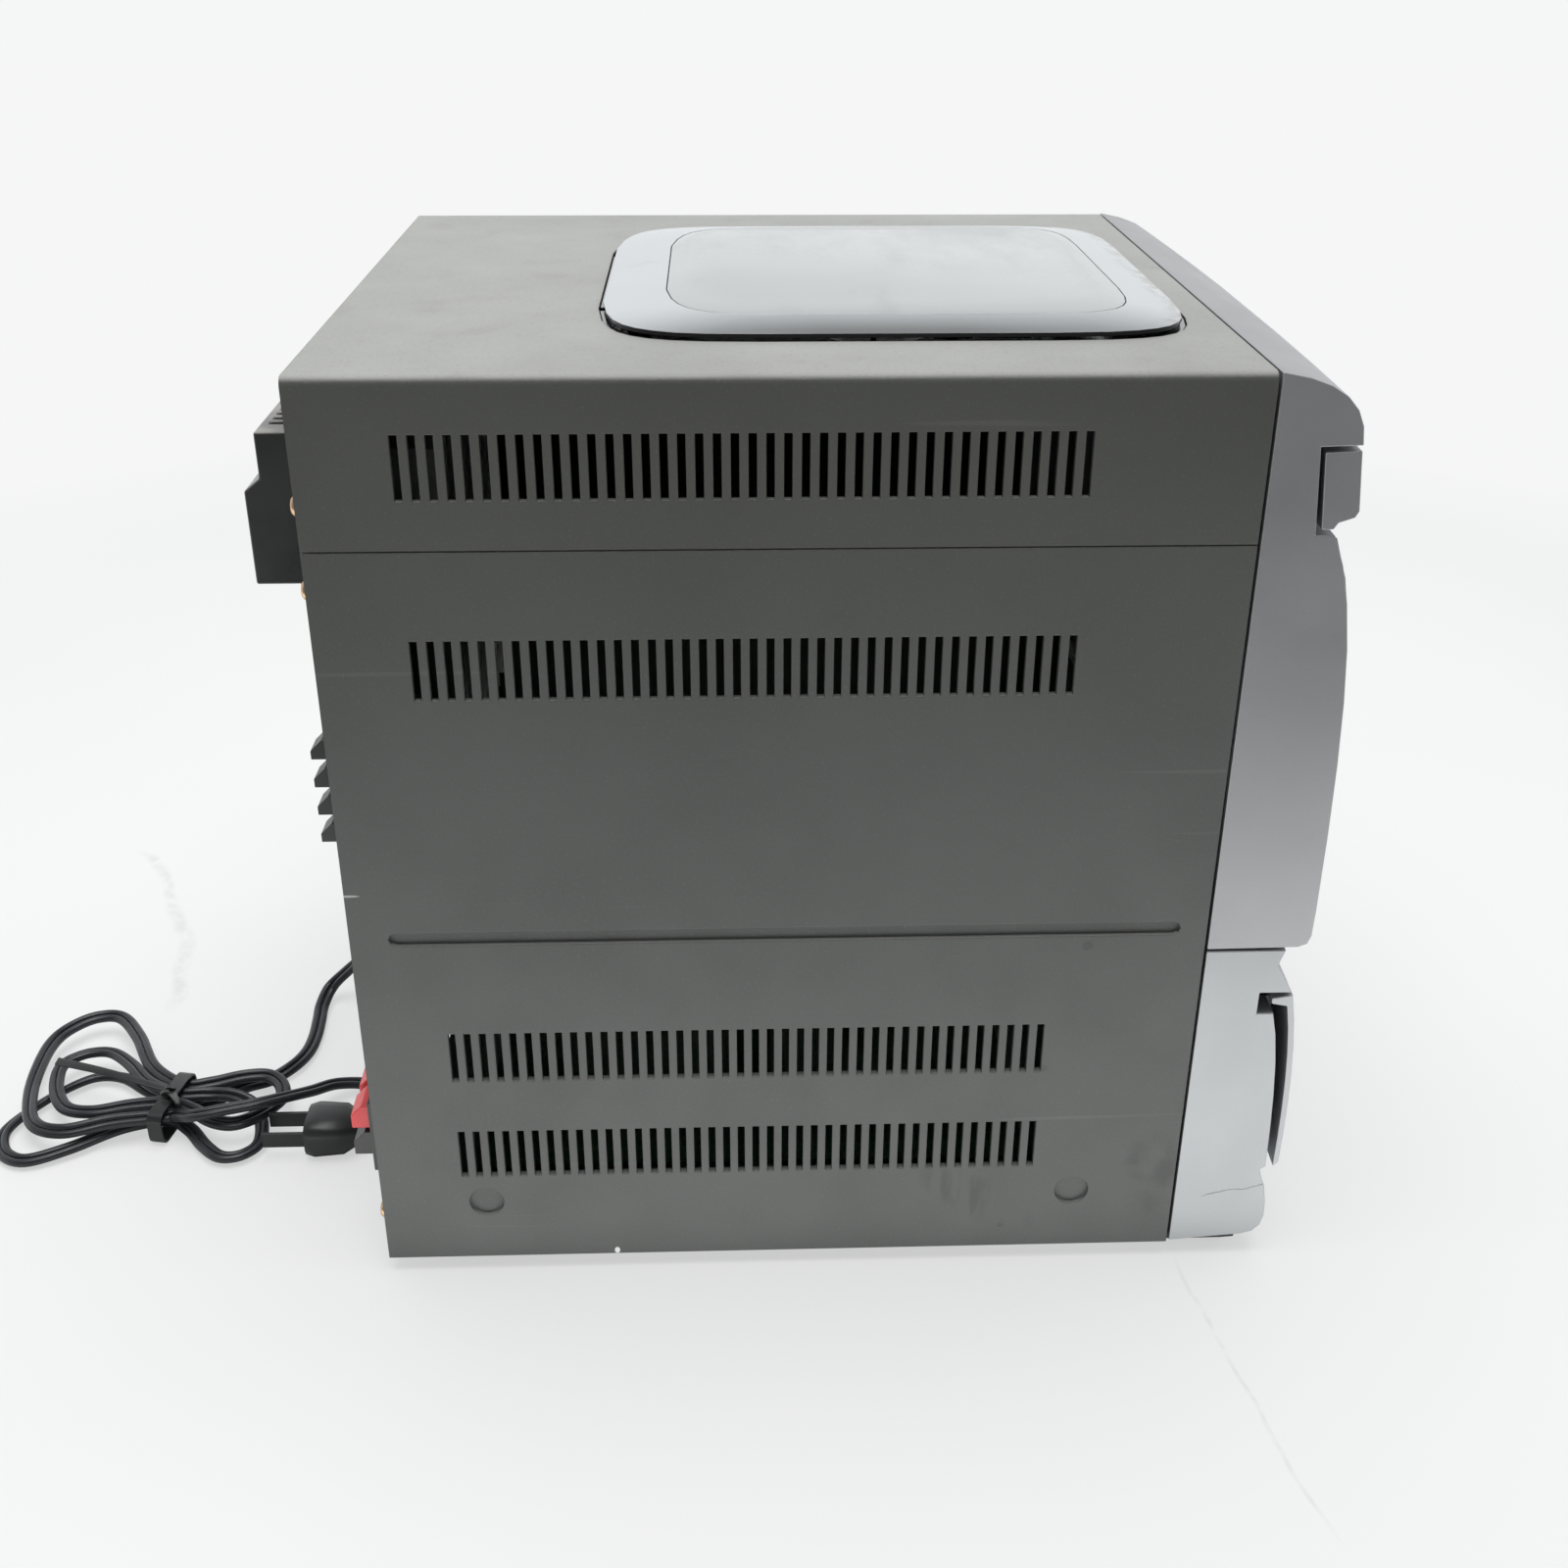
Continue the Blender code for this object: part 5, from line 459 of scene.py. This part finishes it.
def silver_finish(name, base, warm):
    """Silver-painted plastic with a very fine fleck, faint clouds, scuffs and small marks, and a lilac tint
    on forward-facing faces that is a painted reflection.
    """
    g = Graph(name)
    fleck = g.noise(2600, 1)
    cloud = g.noise(9, 3)
    marks = g.noise(60, 6)
    colour = g.mix(g.ramp(cloud, 0.35, 0.65), scaled(base, 0.95), warm)
    # Painted reflection: faces that look forward are tinted lilac in place of the room reflected there
    front = g.ramp(g.axis(g.normal, "Y"), -0.35, -0.9)
    colour = g.mix(g.maths("MULTIPLY", front, 0.5), colour, (base[0] * 0.95, base[1] * 0.95, base[2] * 1.12))
    colour = g.mix(g.ramp(fleck, 0.35, 0.65, 0, 0.2), colour, scaled(base, 1.15))
    colour = g.mix(g.ramp(marks, 0.69, 0.76, 0, 0.25), colour, scaled(base, 0.6))
    roughness = g.ramp(g.noise(30, 4), 0.3, 0.7, 0.36, 0.46)
    normal = g.bump(fleck, 0.00003, 0.4)
    return g, colour, roughness, normal


def upper_silver():
    warm = scaled(UPPER_COLOUR, 1.06)
    g, colour, roughness, normal = silver_finish("upper_silver_paint", UPPER_COLOUR, warm)
    return g.finish(colour, roughness, normal, metallic=PAINT_METALLIC)


def lower_silver():
    """The same silver paint, with a crack that runs forward from the side near the foot."""
    warm = scaled(LOWER_COLOUR, 1.05)
    g, colour, roughness, normal = silver_finish("lower_silver_paint", LOWER_COLOUR, warm)
    y, z = g.axis(g.place, "Y"), g.axis(g.place, "Z")
    wander = g.ramp(g.noise(110, 3), 0.3, 0.7, -0.0011, 0.0011)
    line = g.maths("MULTIPLY_ADD", y, -0.24, 0.0)
    offset = g.maths("SUBTRACT", g.maths("ADD", z, wander), g.maths("ADD", line, -0.0062))
    near = g.ramp(g.maths("ABSOLUTE", offset), 0.00012, 0.0003, 1, 0)
    span = g.maths("MULTIPLY", g.ramp(y, -0.1585, -0.1555), g.ramp(y, -0.1335, -0.1365))
    side = g.maths("LESS_THAN", g.axis(g.place, "X"), -0.12)
    crack = g.maths("MULTIPLY", g.maths("MULTIPLY", near, span), side)
    colour = g.mix(g.maths("MULTIPLY", crack, 0.75), colour, (0.1, 0.1, 0.105))
    normal = g.bump(crack, 0.0003, -1.0, normal)
    return g.finish(colour, roughness, normal, metallic=PAINT_METALLIC)


def lid_finish():
    """Glossy silver paint with some grime at its front corner. Painted shade darkens the faces that lean
    toward -X, and the low skirt of the lid is painted glossy black as painted shade that widens the dark line
    of the gap under it.
    """
    g, colour, roughness, normal = silver_finish("lid_paint", LID_COLOUR, scaled(LID_COLOUR, 1.05))
    z = g.axis(g.place, "Z")
    # Painted shade: below this height the skirt is painted glossy black, which widens the dark line of the
    # gap under the lid
    skirt = g.maths("LESS_THAN", z, CASE_TOP + LID_SHADE_BAND_TOP)
    corner = g.maths("MULTIPLY", g.ramp(g.axis(g.place, "Y"), -0.094, -0.108), g.ramp(z, 0.3222, 0.3212))
    grime = g.maths("MULTIPLY", corner, g.ramp(g.noise(160, 4), 0.45, 0.6))
    colour = g.mix(g.maths("MULTIPLY", grime, 0.6), colour, (0.17, 0.11, 0.07))
    # Painted shade: faces that lean toward -X are darkened, most in the middle of the lid's width
    near = g.ramp(g.axis(g.normal, "X"), -0.02, -0.13)
    shade = g.ramp(g.maths("ABSOLUTE", g.maths("ADD", g.axis(g.place, "Y"), 0.02)), 0.02, 0.085, 0.94, 0.6)
    colour = g.mix(g.maths("MULTIPLY", near, shade), colour, scaled(LID_COLOUR, 0.1))
    colour = g.mix(skirt, colour, (0.006, 0.006, 0.007))
    roughness = g.ramp(skirt, 0, 1, 0.24, 0.06)
    return g.finish(colour, roughness, normal, metallic=LID_METALLIC, coat_weight=0.35, coat_roughness=0.1)


def pane_finish():
    """Clear plastic over the disc, hazed by wiping marks and dust."""
    g = Graph("lid_pane")
    wipe = g.noise(13, 3, stretch=(1.0, 0.4, 1.0))
    smear = g.noise(60, 4, stretch=(0.4, 1.0, 1.0))
    colour = g.mix(g.ramp(wipe, 0.35, 0.65), PANE_COLOUR, scaled(PANE_COLOUR, 1.1))
    colour = g.mix(g.ramp(smear, 0.62, 0.78, 0, 0.3), colour, scaled(PANE_COLOUR, 0.72))
    speck = g.noise(300, 3)
    colour = g.mix(g.ramp(speck, 0.74, 0.8, 0, 0.3), colour, (0.3, 0.295, 0.29))
    roughness = g.ramp(smear, 0.35, 0.65, 0.13, 0.26)
    return g.finish(
        colour, roughness, alpha=0.94, transmission_weight=0.1, coat_weight=0.5, coat_roughness=0.06
    )


def black_finish(name, base=0.016, rough=0.3, dust=0.0, coat=0.0):
    """Black moulded plastic; dust is how grey it turns where it faces up."""
    g = Graph(name)
    cloud = g.noise(40, 4)
    dark, light = (base, base * 1.05, base * 1.08), (base * 1.5, base * 1.55, base * 1.6)
    colour = g.mix(g.ramp(cloud, 0.35, 0.65), dark, light)
    if dust:
        up = g.ramp(g.axis(g.normal, "Z"), 0.1, 0.9, 0, dust)
        lint = g.maths("MULTIPLY", up, g.ramp(g.noise(70, 5), 0.3, 0.75))
        colour = g.mix(lint, colour, (0.34, 0.32, 0.29))
    roughness = g.ramp(g.noise(90, 3), 0.3, 0.7, rough * 0.85, rough * 1.25)
    normal = g.bump(g.noise(700, 2), 0.00003, 0.35)
    return g.finish(colour, roughness, normal, coat_weight=coat, coat_roughness=0.08)


def cord_finish():
    g = Graph("cord_vinyl")
    cloud = g.noise(55, 4)
    colour = g.mix(g.ramp(cloud, 0.35, 0.65), (0.012, 0.013, 0.017), (0.028, 0.03, 0.037))
    roughness = g.ramp(g.noise(120, 3), 0.3, 0.7, 0.26, 0.42)
    normal = g.bump(g.noise(500, 2), 0.00004, 0.3)
    return g.finish(colour, roughness, normal, sheen_weight=0.12, sheen_roughness=0.4)


def red_finish():
    g = Graph("terminal_red")
    colour = g.mix(g.ramp(g.noise(90, 3), 0.35, 0.65), (0.62, 0.028, 0.035), (0.72, 0.045, 0.05))
    roughness = g.ramp(g.noise(150, 3), 0.3, 0.7, 0.28, 0.42)
    return g.finish(colour, roughness, g.bump(g.noise(700, 2), 0.00003, 0.3))


def metal_finish(name, base, rough, stretch, metallic=1.0):
    g = Graph(name)
    brushed = g.noise(300, 3, stretch=stretch)
    colour = g.mix(g.ramp(g.noise(25, 4), 0.3, 0.7), scaled(base, 0.85), base)
    roughness = g.ramp(brushed, 0.3, 0.7, rough * 0.8, rough * 1.25)
    return g.finish(colour, roughness, g.bump(brushed, 0.00004, 0.3), metallic=metallic)


def board_finish():
    """Solder mask with light copper tracks under it."""
    g = Graph("board_mask")
    tracks = g.add("TexBrick", {"Vector": g.place, "Scale": 95.0, "Mortar Size": 0.03}).outputs["Fac"]
    colour = g.mix(g.ramp(g.noise(40, 3), 0.3, 0.7), (0.018, 0.08, 0.035), (0.03, 0.11, 0.05))
    colour = g.mix(g.maths("MULTIPLY", tracks, 0.5), colour, (0.09, 0.2, 0.09))
    return g.finish(colour, 0.35, g.bump(tracks, 0.00008, 0.3))


def lens_finish():
    g = Graph("display_lens_tint")
    colour = g.mix(g.ramp(g.noise(12, 3), 0.3, 0.7), (0.012, 0.014, 0.02), (0.02, 0.023, 0.032))
    roughness = g.ramp(g.noise(60, 4), 0.3, 0.7, 0.05, 0.14)
    return g.finish(colour, roughness, coat_weight=0.5, coat_roughness=0.04)


CASE = case_finish()
UPPER = upper_silver()
LOWER = lower_silver()
LID = lid_finish()
PANE = pane_finish()
BLACK = black_finish("black_moulding")
HOUSING = black_finish("rear_housing", 0.026, 0.3, dust=0.75)
WELL = black_finish("well_gloss", 0.012, 0.12, coat=0.5)
RUBBER = black_finish("foot_rubber", 0.02, 0.55)
LEVER = black_finish("lever_black", 0.02, 0.36)
CORD = cord_finish()
RED = red_finish()
LENS = lens_finish()
BOARD = board_finish()
STEEL = metal_finish("plated_steel", (0.55, 0.55, 0.54), 0.34, (1.0, 8.0, 1.0))
ALUMINIUM = metal_finish("extruded_aluminium", (0.55, 0.56, 0.57), 0.42, (6.0, 1.0, 1.0))
BRASS = metal_finish("screw_brass", (0.62, 0.42, 0.26), 0.3, (1.0, 1.0, 1.0))

FINISHES = {
    "case_plastic": CASE,
    "upper_silver": UPPER,
    "lower_silver": LOWER,
    "lid_silver": LID,
    "lid_clear": PANE,
    "black_plastic": BLACK,
    "red_plastic": RED,
    "lens_plastic": LENS,
    "steel": STEEL,
    "aluminium": ALUMINIUM,
    "board_green": BOARD,
    "cord_black": CORD,
}
SPECIAL = {
    "heat_sink_cover": HOUSING,
    "cd_well": WELL,
    "front_left_foot": RUBBER,
    "front_right_foot": RUBBER,
    "rear_left_foot": RUBBER,
    "rear_right_foot": RUBBER,
    "speaker_lever_3": LEVER,
    "speaker_lever_4": LEVER,
    "antenna_lever_1": LEVER,
    "antenna_lever_2": LEVER,
    "antenna_lever_3": LEVER,
    "antenna_lever_4": LEVER,
}
EDGES = {
    "case_plastic": 0.0004,
    "upper_silver": 0.00035,
    "lower_silver": 0.0004,
    "red_plastic": 0.0005,
    "lens_plastic": 0.0002,
}
DEFAULT_EDGE = 0.0002
SPECIAL_EDGES = {"heat_sink_cover": 0.0007, "cd_well": 0.0003}
FLAT_ANGLE = math.radians(0.6)
SPLIT_ANGLE = math.radians(32)
WELD_REACH = 0.00001
PANELS = ("top_cover", "left_side_panel", "right_side_panel", "back_panel", "bottom_plate")
PLAIN_NODES = ("main_board", "control_board", "left_tape_mechanism", "right_tape_mechanism", "cd_mechanism")


def dress_nodes():
    """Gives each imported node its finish, merged corners and softened edges."""
    slots = {part["node"]: part["material_slot"] for part in frame["record"]["subparts"]}
    for name, node in nodes.items():
        slot = slots[name]
        finish = SPECIAL.get(name, FINISHES[slot])
        node.data.materials.clear()
        node.data.materials.append(finish)
        for attribute in ("custom_normal", "sharp_edge", "sharp_face"):
            if attribute in node.data.attributes:
                node.data.attributes.remove(node.data.attributes[attribute])
        node.data.shade_smooth()
        weld = node.modifiers.new("weld", "WELD")
        weld.merge_threshold = WELD_REACH
        if name in PANELS:
            node.modifiers.new("split", "EDGE_SPLIT").split_angle = SPLIT_ANGLE
            continue
        flat = node.modifiers.new("flat", "DECIMATE")
        flat.decimate_type = "DISSOLVE"
        flat.angle_limit = FLAT_ANGLE
        width = SPECIAL_EDGES.get(name, EDGES.get(slot, DEFAULT_EDGE))
        edge = bevelled(node, width, 1 if name in PLAIN_NODES else 2).modifiers["edges"]
        edge.loop_slide = False


dress_nodes()


def dressed(piece, material, body):
    piece.data.materials.append(material)
    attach(piece, body)
    return piece


dressed(cord, CORD, "case")
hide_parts("mains_cord", "cord_hank", "plug_lead")


# Screws at the back
SCREW_RADIUS = 0.0031
SCREW_RISE = 0.0022
SCREW_PROUD = 0.00005
SCREW_SIDE = HALF_WIDTH - 0.0065
SCREW_LEVELS = (0.2807, 0.2551, 0.0229)


def pan_screw(name, place, radius=SCREW_RADIUS, rise=SCREW_RISE):
    """A pan head with a cross recess, on a face that looks to the back."""
    bm = bmesh.new()
    x, y, z = place
    rings = []
    for share, height in ((1.0, 0.0), (1.0, 0.35), (0.93, 0.7), (0.72, 0.93), (0.35, 1.0)):
        ring = []
        for i in range(24):
            angle = math.tau * i / 24
            reach = radius * share
            ring.append((x + reach * math.cos(angle), y + rise * height, z + reach * math.sin(angle)))
        rings.append(ring)
    loft(bm, rings)
    head = from_bmesh(name, bm)
    cross = bmesh.new()
    arm, slim, deep = radius * 0.55, radius * 0.13, rise * 0.5
    block(cross, (x - arm, y + deep, z - slim), (x + arm, y + 2 * rise, z + slim))
    block(cross, (x - slim, y + deep, z - arm), (x + slim, y + 2 * rise, z + arm))
    cutter = from_bmesh(name + "_recess", cross, False)
    recess = head.modifiers.new("recess", "BOOLEAN")
    recess.object = cutter
    recess.use_self = True
    recess.solver = "EXACT"
    bpy.context.view_layer.update()
    settled = bpy.data.meshes.new_from_object(head.evaluated_get(bpy.context.evaluated_depsgraph_get()))
    head.modifiers.clear()
    head.data = settled
    bpy.data.objects.remove(cutter)
    return dressed(head, BRASS, "case")


for side, word in ((-1, "left"), (1, "right")):
    for number, level in enumerate(SCREW_LEVELS, 1):
        pan_screw(f"{word}_rear_screw_{number}", (side * SCREW_SIDE, CASE_BACK + SCREW_PROUD, level))


# Tie: its twisted knot and the flat tail that points away from the unit
TIE_TOP = 0.0141
TIE_TAIL_LENGTH = 0.052
TIE_TAIL_WIDTH = 0.0034
TIE_TAIL_THICKNESS = 0.0009
TIE_TAIL_LIFT = 0.0014
TIE_TAIL_RISE = 0.0022
TIE_TAIL_DROP = 0.0006
TIE_TAIL_START = 0.002
TIE_TAIL_SWING = 0.011
TIE_END_LENGTH = 0.008
TIE_END_SWING = 0.009
TIE_END_START = 0.001
TIE_END_RISE = 0.004
TIE_END_DROP = 0.003
TIE_MIDDLE_SHIFT = 0.0058
KNOT_DRIFT = 0.006
KNOT_RADIUS = 0.0014
KNOT_RISE = 0.0013
KNOT_LIFT = 0.0019
KNOT_STRIP = (0.0024, 0.0011)


def strip(name, path, width, thickness, turn_of=None):
    """A flat strip along a path, turned about it by turn_of(share)."""
    bm = bmesh.new()
    rings = []
    for i, point in enumerate(path):
        ahead = (path[min(i + 1, len(path) - 1)] - path[max(i - 1, 0)]).normalized()
        side = ahead.cross(Vector((0, 0, 1))).normalized()
        up = side.cross(ahead)
        angle = turn_of(i / (len(path) - 1)) if turn_of else 0.0
        a = side * math.cos(angle) + up * math.sin(angle)
        b = up * math.cos(angle) - side * math.sin(angle)
        ring = []
        for u, v in ((-1, -0.6), (-0.8, -1), (0.8, -1), (1, -0.6), (1, 0.6), (0.8, 1), (-0.8, 1), (-1, 0.6)):
            ring.append(point + a * u * width / 2 + b * v * thickness / 2)
        rings.append(ring)
    loft(bm, rings)
    return bevelled(from_bmesh(name, bm), thickness * 0.2, 1)


def make_tie_parts():
    across, along = hank_axis()
    centre = Vector(HANK_CENTRE) - across * TIE_MIDDLE_SHIFT
    knot = []
    for i in range(33):
        angle = math.tau * i / 16
        drift = (i / 32 - 0.5) * KNOT_DRIFT
        high = TIE_TOP + KNOT_LIFT + KNOT_RISE * math.sin(angle)
        knot.append(centre + across * drift + along * KNOT_RADIUS * math.cos(angle) + Vector((0, 0, high)))
    twisted = strip("tie_knot", knot, *KNOT_STRIP)
    tail = []
    for i in range(25):
        share = i / 24
        level = TIE_TOP + TIE_TAIL_LIFT + TIE_TAIL_RISE * math.sin(math.pi * share) - TIE_TAIL_DROP * share
        sideways = TIE_TAIL_START + TIE_TAIL_SWING * share**1.5
        spot_on = along * (TIE_TAIL_START + TIE_TAIL_LENGTH * share) + across * sideways
        tail.append(centre + spot_on + Vector((0, 0, level)))
    flat = strip("tie_tail", tail, TIE_TAIL_WIDTH, TIE_TAIL_THICKNESS, lambda share: 0.5 * share)
    short = []
    for i in range(13):
        share = i / 12
        level = TIE_TOP + TIE_TAIL_LIFT + TIE_END_RISE * share - TIE_END_DROP * share * share
        spot_on = along * (TIE_END_START + TIE_END_LENGTH * share) + across * TIE_END_SWING * share
        short.append(centre - spot_on + Vector((0, 0, level)))
    end = strip("tie_end", short, TIE_TAIL_WIDTH, TIE_TAIL_THICKNESS, lambda share: 1.1 * share)
    for piece in (twisted, flat, end):
        dressed(piece, BLACK, "case")


make_tie_parts()


# Near-black card behind the right-hand slots, put in as painted shade: a dark sheet that keeps the inside
# dark
CARD_CORNER = 0.006
CARD_HEIGHTS = (0.168, 0.262)
CARD_DEPTHS = (-0.1, 0.14)
CARD_THICKNESS = 0.0006
CARD_INSET = 0.0045
CARD_EDGE = 0.0001


def make_shade_card():
    # Near-black finish of the card: painted shade for the dark inside
    g = Graph("shade_card_black")
    tone = g.ramp(g.noise(400, 4), 0.3, 0.7, 0.004, 0.012)
    colour = g.mix(tone, (0, 0, 0), (1, 1, 1))
    shade_black = g.finish(colour, 0.9, g.bump(g.noise(900, 3), 0.0002, 0.6))
    bm = bmesh.new()
    (low, high), (front, back), x = CARD_HEIGHTS, CARD_DEPTHS, HALF_WIDTH - CARD_INSET
    outline = []
    for y, z, start in ((back, high, 0), (front, high, 90), (front, low, 180), (back, low, 270)):
        turn_y = 1 if start in (0, 270) else -1
        turn_z = 1 if start in (0, 90) else -1
        for i in range(5):
            angle = math.radians(start + 22.5 * i)
            across = y - turn_y * CARD_CORNER + CARD_CORNER * math.cos(angle)
            outline.append((across, z - turn_z * CARD_CORNER + CARD_CORNER * math.sin(angle)))
    loft(bm, [[(x + t, y, z) for y, z in outline] for t in (0.0, CARD_THICKNESS)])
    dressed(bevelled(from_bmesh("shade_card", bm, False), CARD_EDGE, 1), shade_black, "case")


make_shade_card()


# Floor and lights
FLOOR_SIZE = 9.0


def make_floor():
    """A pale floor, plain white further off. For all rays but the camera's it glows as painted light,
    brightest in a strip in front of the camera's side, and that strip lights the unit from below.
    """
    g = Graph("pale_floor")
    g.tree.nodes.remove(g.shader)
    path = g.add("LightPath", {})
    camera = path.outputs["Is Camera Ray"]
    x = g.axis(g.place, "X")
    strip = g.maths("MULTIPLY", g.ramp(x, -0.1, -0.15), FLOOR_STRIP - FLOOR_SEEN[0])
    bright = g.maths("ADD", strip, FLOOR_SEEN[0])
    faded = g.ramp(x, *FLOOR_STRIP_SPAN)
    bright = g.maths("MULTIPLY_ADD", g.maths("SUBTRACT", bright, FLOOR_FAR), faded, FLOOR_FAR)
    cloud = g.noise(3.0, 4)
    tone = g.ramp(cloud, 0.35, 0.65, FLOOR_TONE * 0.98, FLOOR_TONE * 1.02)
    marks = floor_marks(g)
    tone = g.maths("MULTIPLY", tone, marks)
    lit_colour = g.mix(tone, (0, 0, 0), (1, 1, 1))
    lit = g.add("BsdfDiffuse", {"Color": lit_colour})
    seen_colour = g.mix(marks, (0, 0, 0), FLOOR_SEEN)
    seen = g.add("Emission", {"Color": seen_colour, "Strength": 1.0})
    glow = g.add("Emission", {"Color": (1.0, 1.0, 0.99, 1.0), "Strength": bright})
    distance = g.add("VectorMath", {0: g.place}, operation="LENGTH").outputs["Value"]
    beyond = g.ramp(distance, 0.45, 1.0)
    camera_share = g.maths("MAXIMUM", beyond, FLOOR_SEEN_SHARE)
    plain = g.add("MixShader", {0: camera, 1: glow.outputs[0], 2: seen.outputs[0]})
    near_side = g.maths("MULTIPLY", g.ramp(x, -0.12, -0.16), 0.8)
    other_share = g.maths("MAXIMUM", g.ramp(distance, 0.3, 0.6), near_side)
    difference = g.maths("SUBTRACT", camera_share, other_share)
    share = g.maths("MULTIPLY_ADD", difference, camera, other_share)
    mixed = g.add("MixShader", {0: share, 1: lit.outputs[0], 2: plain.outputs[0]})
    g.join(mixed.outputs[0], g.output.inputs["Surface"])
    bm = bmesh.new()
    half = FLOOR_SIZE / 2
    corners = ((-half, -half, 0), (half, -half, 0), (half, half, 0), (-half, half, 0))
    bm.faces.new([bm.verts.new(p) for p in corners])
    floor = from_bmesh("floor", bm, False)
    floor.data.materials.append(g.material)


def floor_marks(g):
    """Faint scuffs on the floor: how light it is there, as a share."""
    x, y = g.axis(g.place, "X"), g.axis(g.place, "Y")
    wander = g.ramp(g.noise(18, 3), 0.3, 0.7, -0.004, 0.004)
    rough = g.ramp(g.noise(160, 3), 0.3, 0.6)
    bend = g.maths("MULTIPLY", g.maths("POWER", g.maths("SUBTRACT", x, 0.03), 2.0), 2.4)
    middle = g.maths("ADD", g.maths("ADD", bend, 0.276), wander)
    off = g.maths("ABSOLUTE", g.maths("SUBTRACT", y, middle))
    rear = g.maths("MULTIPLY", g.ramp(off, 0.0012, 0.0042, 1, 0), g.ramp(x, 0.03, 0.05))
    rear = g.maths("MULTIPLY", rear, g.ramp(x, 0.18, 0.17))
    front_middle = g.maths("MULTIPLY_ADD", g.maths("ADD", x, 0.21), 0.16, -0.1395)
    front_middle = g.maths("MULTIPLY_ADD", wander, 0.5, front_middle)
    front_off = g.maths("ABSOLUTE", g.maths("SUBTRACT", y, front_middle))
    front = g.maths("MULTIPLY", g.ramp(front_off, 0.0003, 0.0011, 1, 0), g.ramp(x, -0.13, -0.15))
    front = g.maths("MULTIPLY", front, g.ramp(x, -0.26, -0.24))
    mark = g.maths("MULTIPLY", g.maths("MAXIMUM", rear, front), rough)
    return g.maths("MULTIPLY_ADD", mark, -0.1, 1.0)


def make_world():
    """Plain white where it is seen, and for lighting bright near the horizon and dimmer above."""
    world = bpy.data.worlds.new("room")
    scene.world = world
    world.use_nodes = True
    tree = world.node_tree

    def add(kind, **settings):
        node = tree.nodes.new("ShaderNode" + kind)
        for key, value in settings.items():
            setattr(node, key, value)
        return node

    def ramp(source, low, high, to_low, to_high):
        node = add("MapRange")
        tree.links.new(source, node.inputs["Value"])
        for key, value in (("From Min", low), ("From Max", high), ("To Min", to_low), ("To Max", to_high)):
            node.inputs[key].default_value = value
        return node.outputs[0]

    way = add("SeparateXYZ")
    tree.links.new(add("TexCoord").outputs["Generated"], way.inputs[0])
    height = ramp(way.outputs["Z"], 0.5, 0.72, ROOM_HORIZON, ROOM_ABOVE)
    side = ramp(way.outputs["X"], -0.5, 0.1, ROOM_NEAR_SIDE, 1.0)
    product = add("Math", operation="MULTIPLY")
    tree.links.new(height, product.inputs[0])
    tree.links.new(side, product.inputs[1])
    room = tree.nodes["Background"]
    room.inputs["Color"].default_value = (0.97, 0.99, 1.0, 1.0)
    tree.links.new(product.outputs[0], room.inputs["Strength"])
    seen = add("Background")
    seen.inputs["Color"].default_value = (0.915, 0.925, 0.92, 1.0)
    path = add("LightPath")
    mix = add("MixShader")
    tree.links.new(path.outputs["Is Camera Ray"], mix.inputs[0])
    tree.links.new(room.outputs[0], mix.inputs[1])
    tree.links.new(seen.outputs[0], mix.inputs[2])
    tree.links.new(mix.outputs[0], tree.nodes["World Output"].inputs["Surface"])


def area_light(name, place, target, width, height, power, colour=(1.0, 1.0, 1.0)):
    data = bpy.data.lights.new(name, "AREA")
    data.shape = "RECTANGLE"
    data.size = width
    data.size_y = height
    data.energy = power
    data.color = colour
    lamp = bpy.data.objects.new(name, data)
    aim = (Vector(target) - Vector(place)).to_track_quat("-Z", "Y")
    lamp.matrix_world = Matrix.Translation(place) @ aim.to_matrix().to_4x4()
    scene.collection.objects.link(lamp)


make_floor()
make_world()
area_light("overhead_light", LAMP_PLACE, (0.0, 0.02, 0.2), LAMP_SIZE, LAMP_SIZE, LAMP_POWER)

scene.view_settings.view_transform = "Standard"
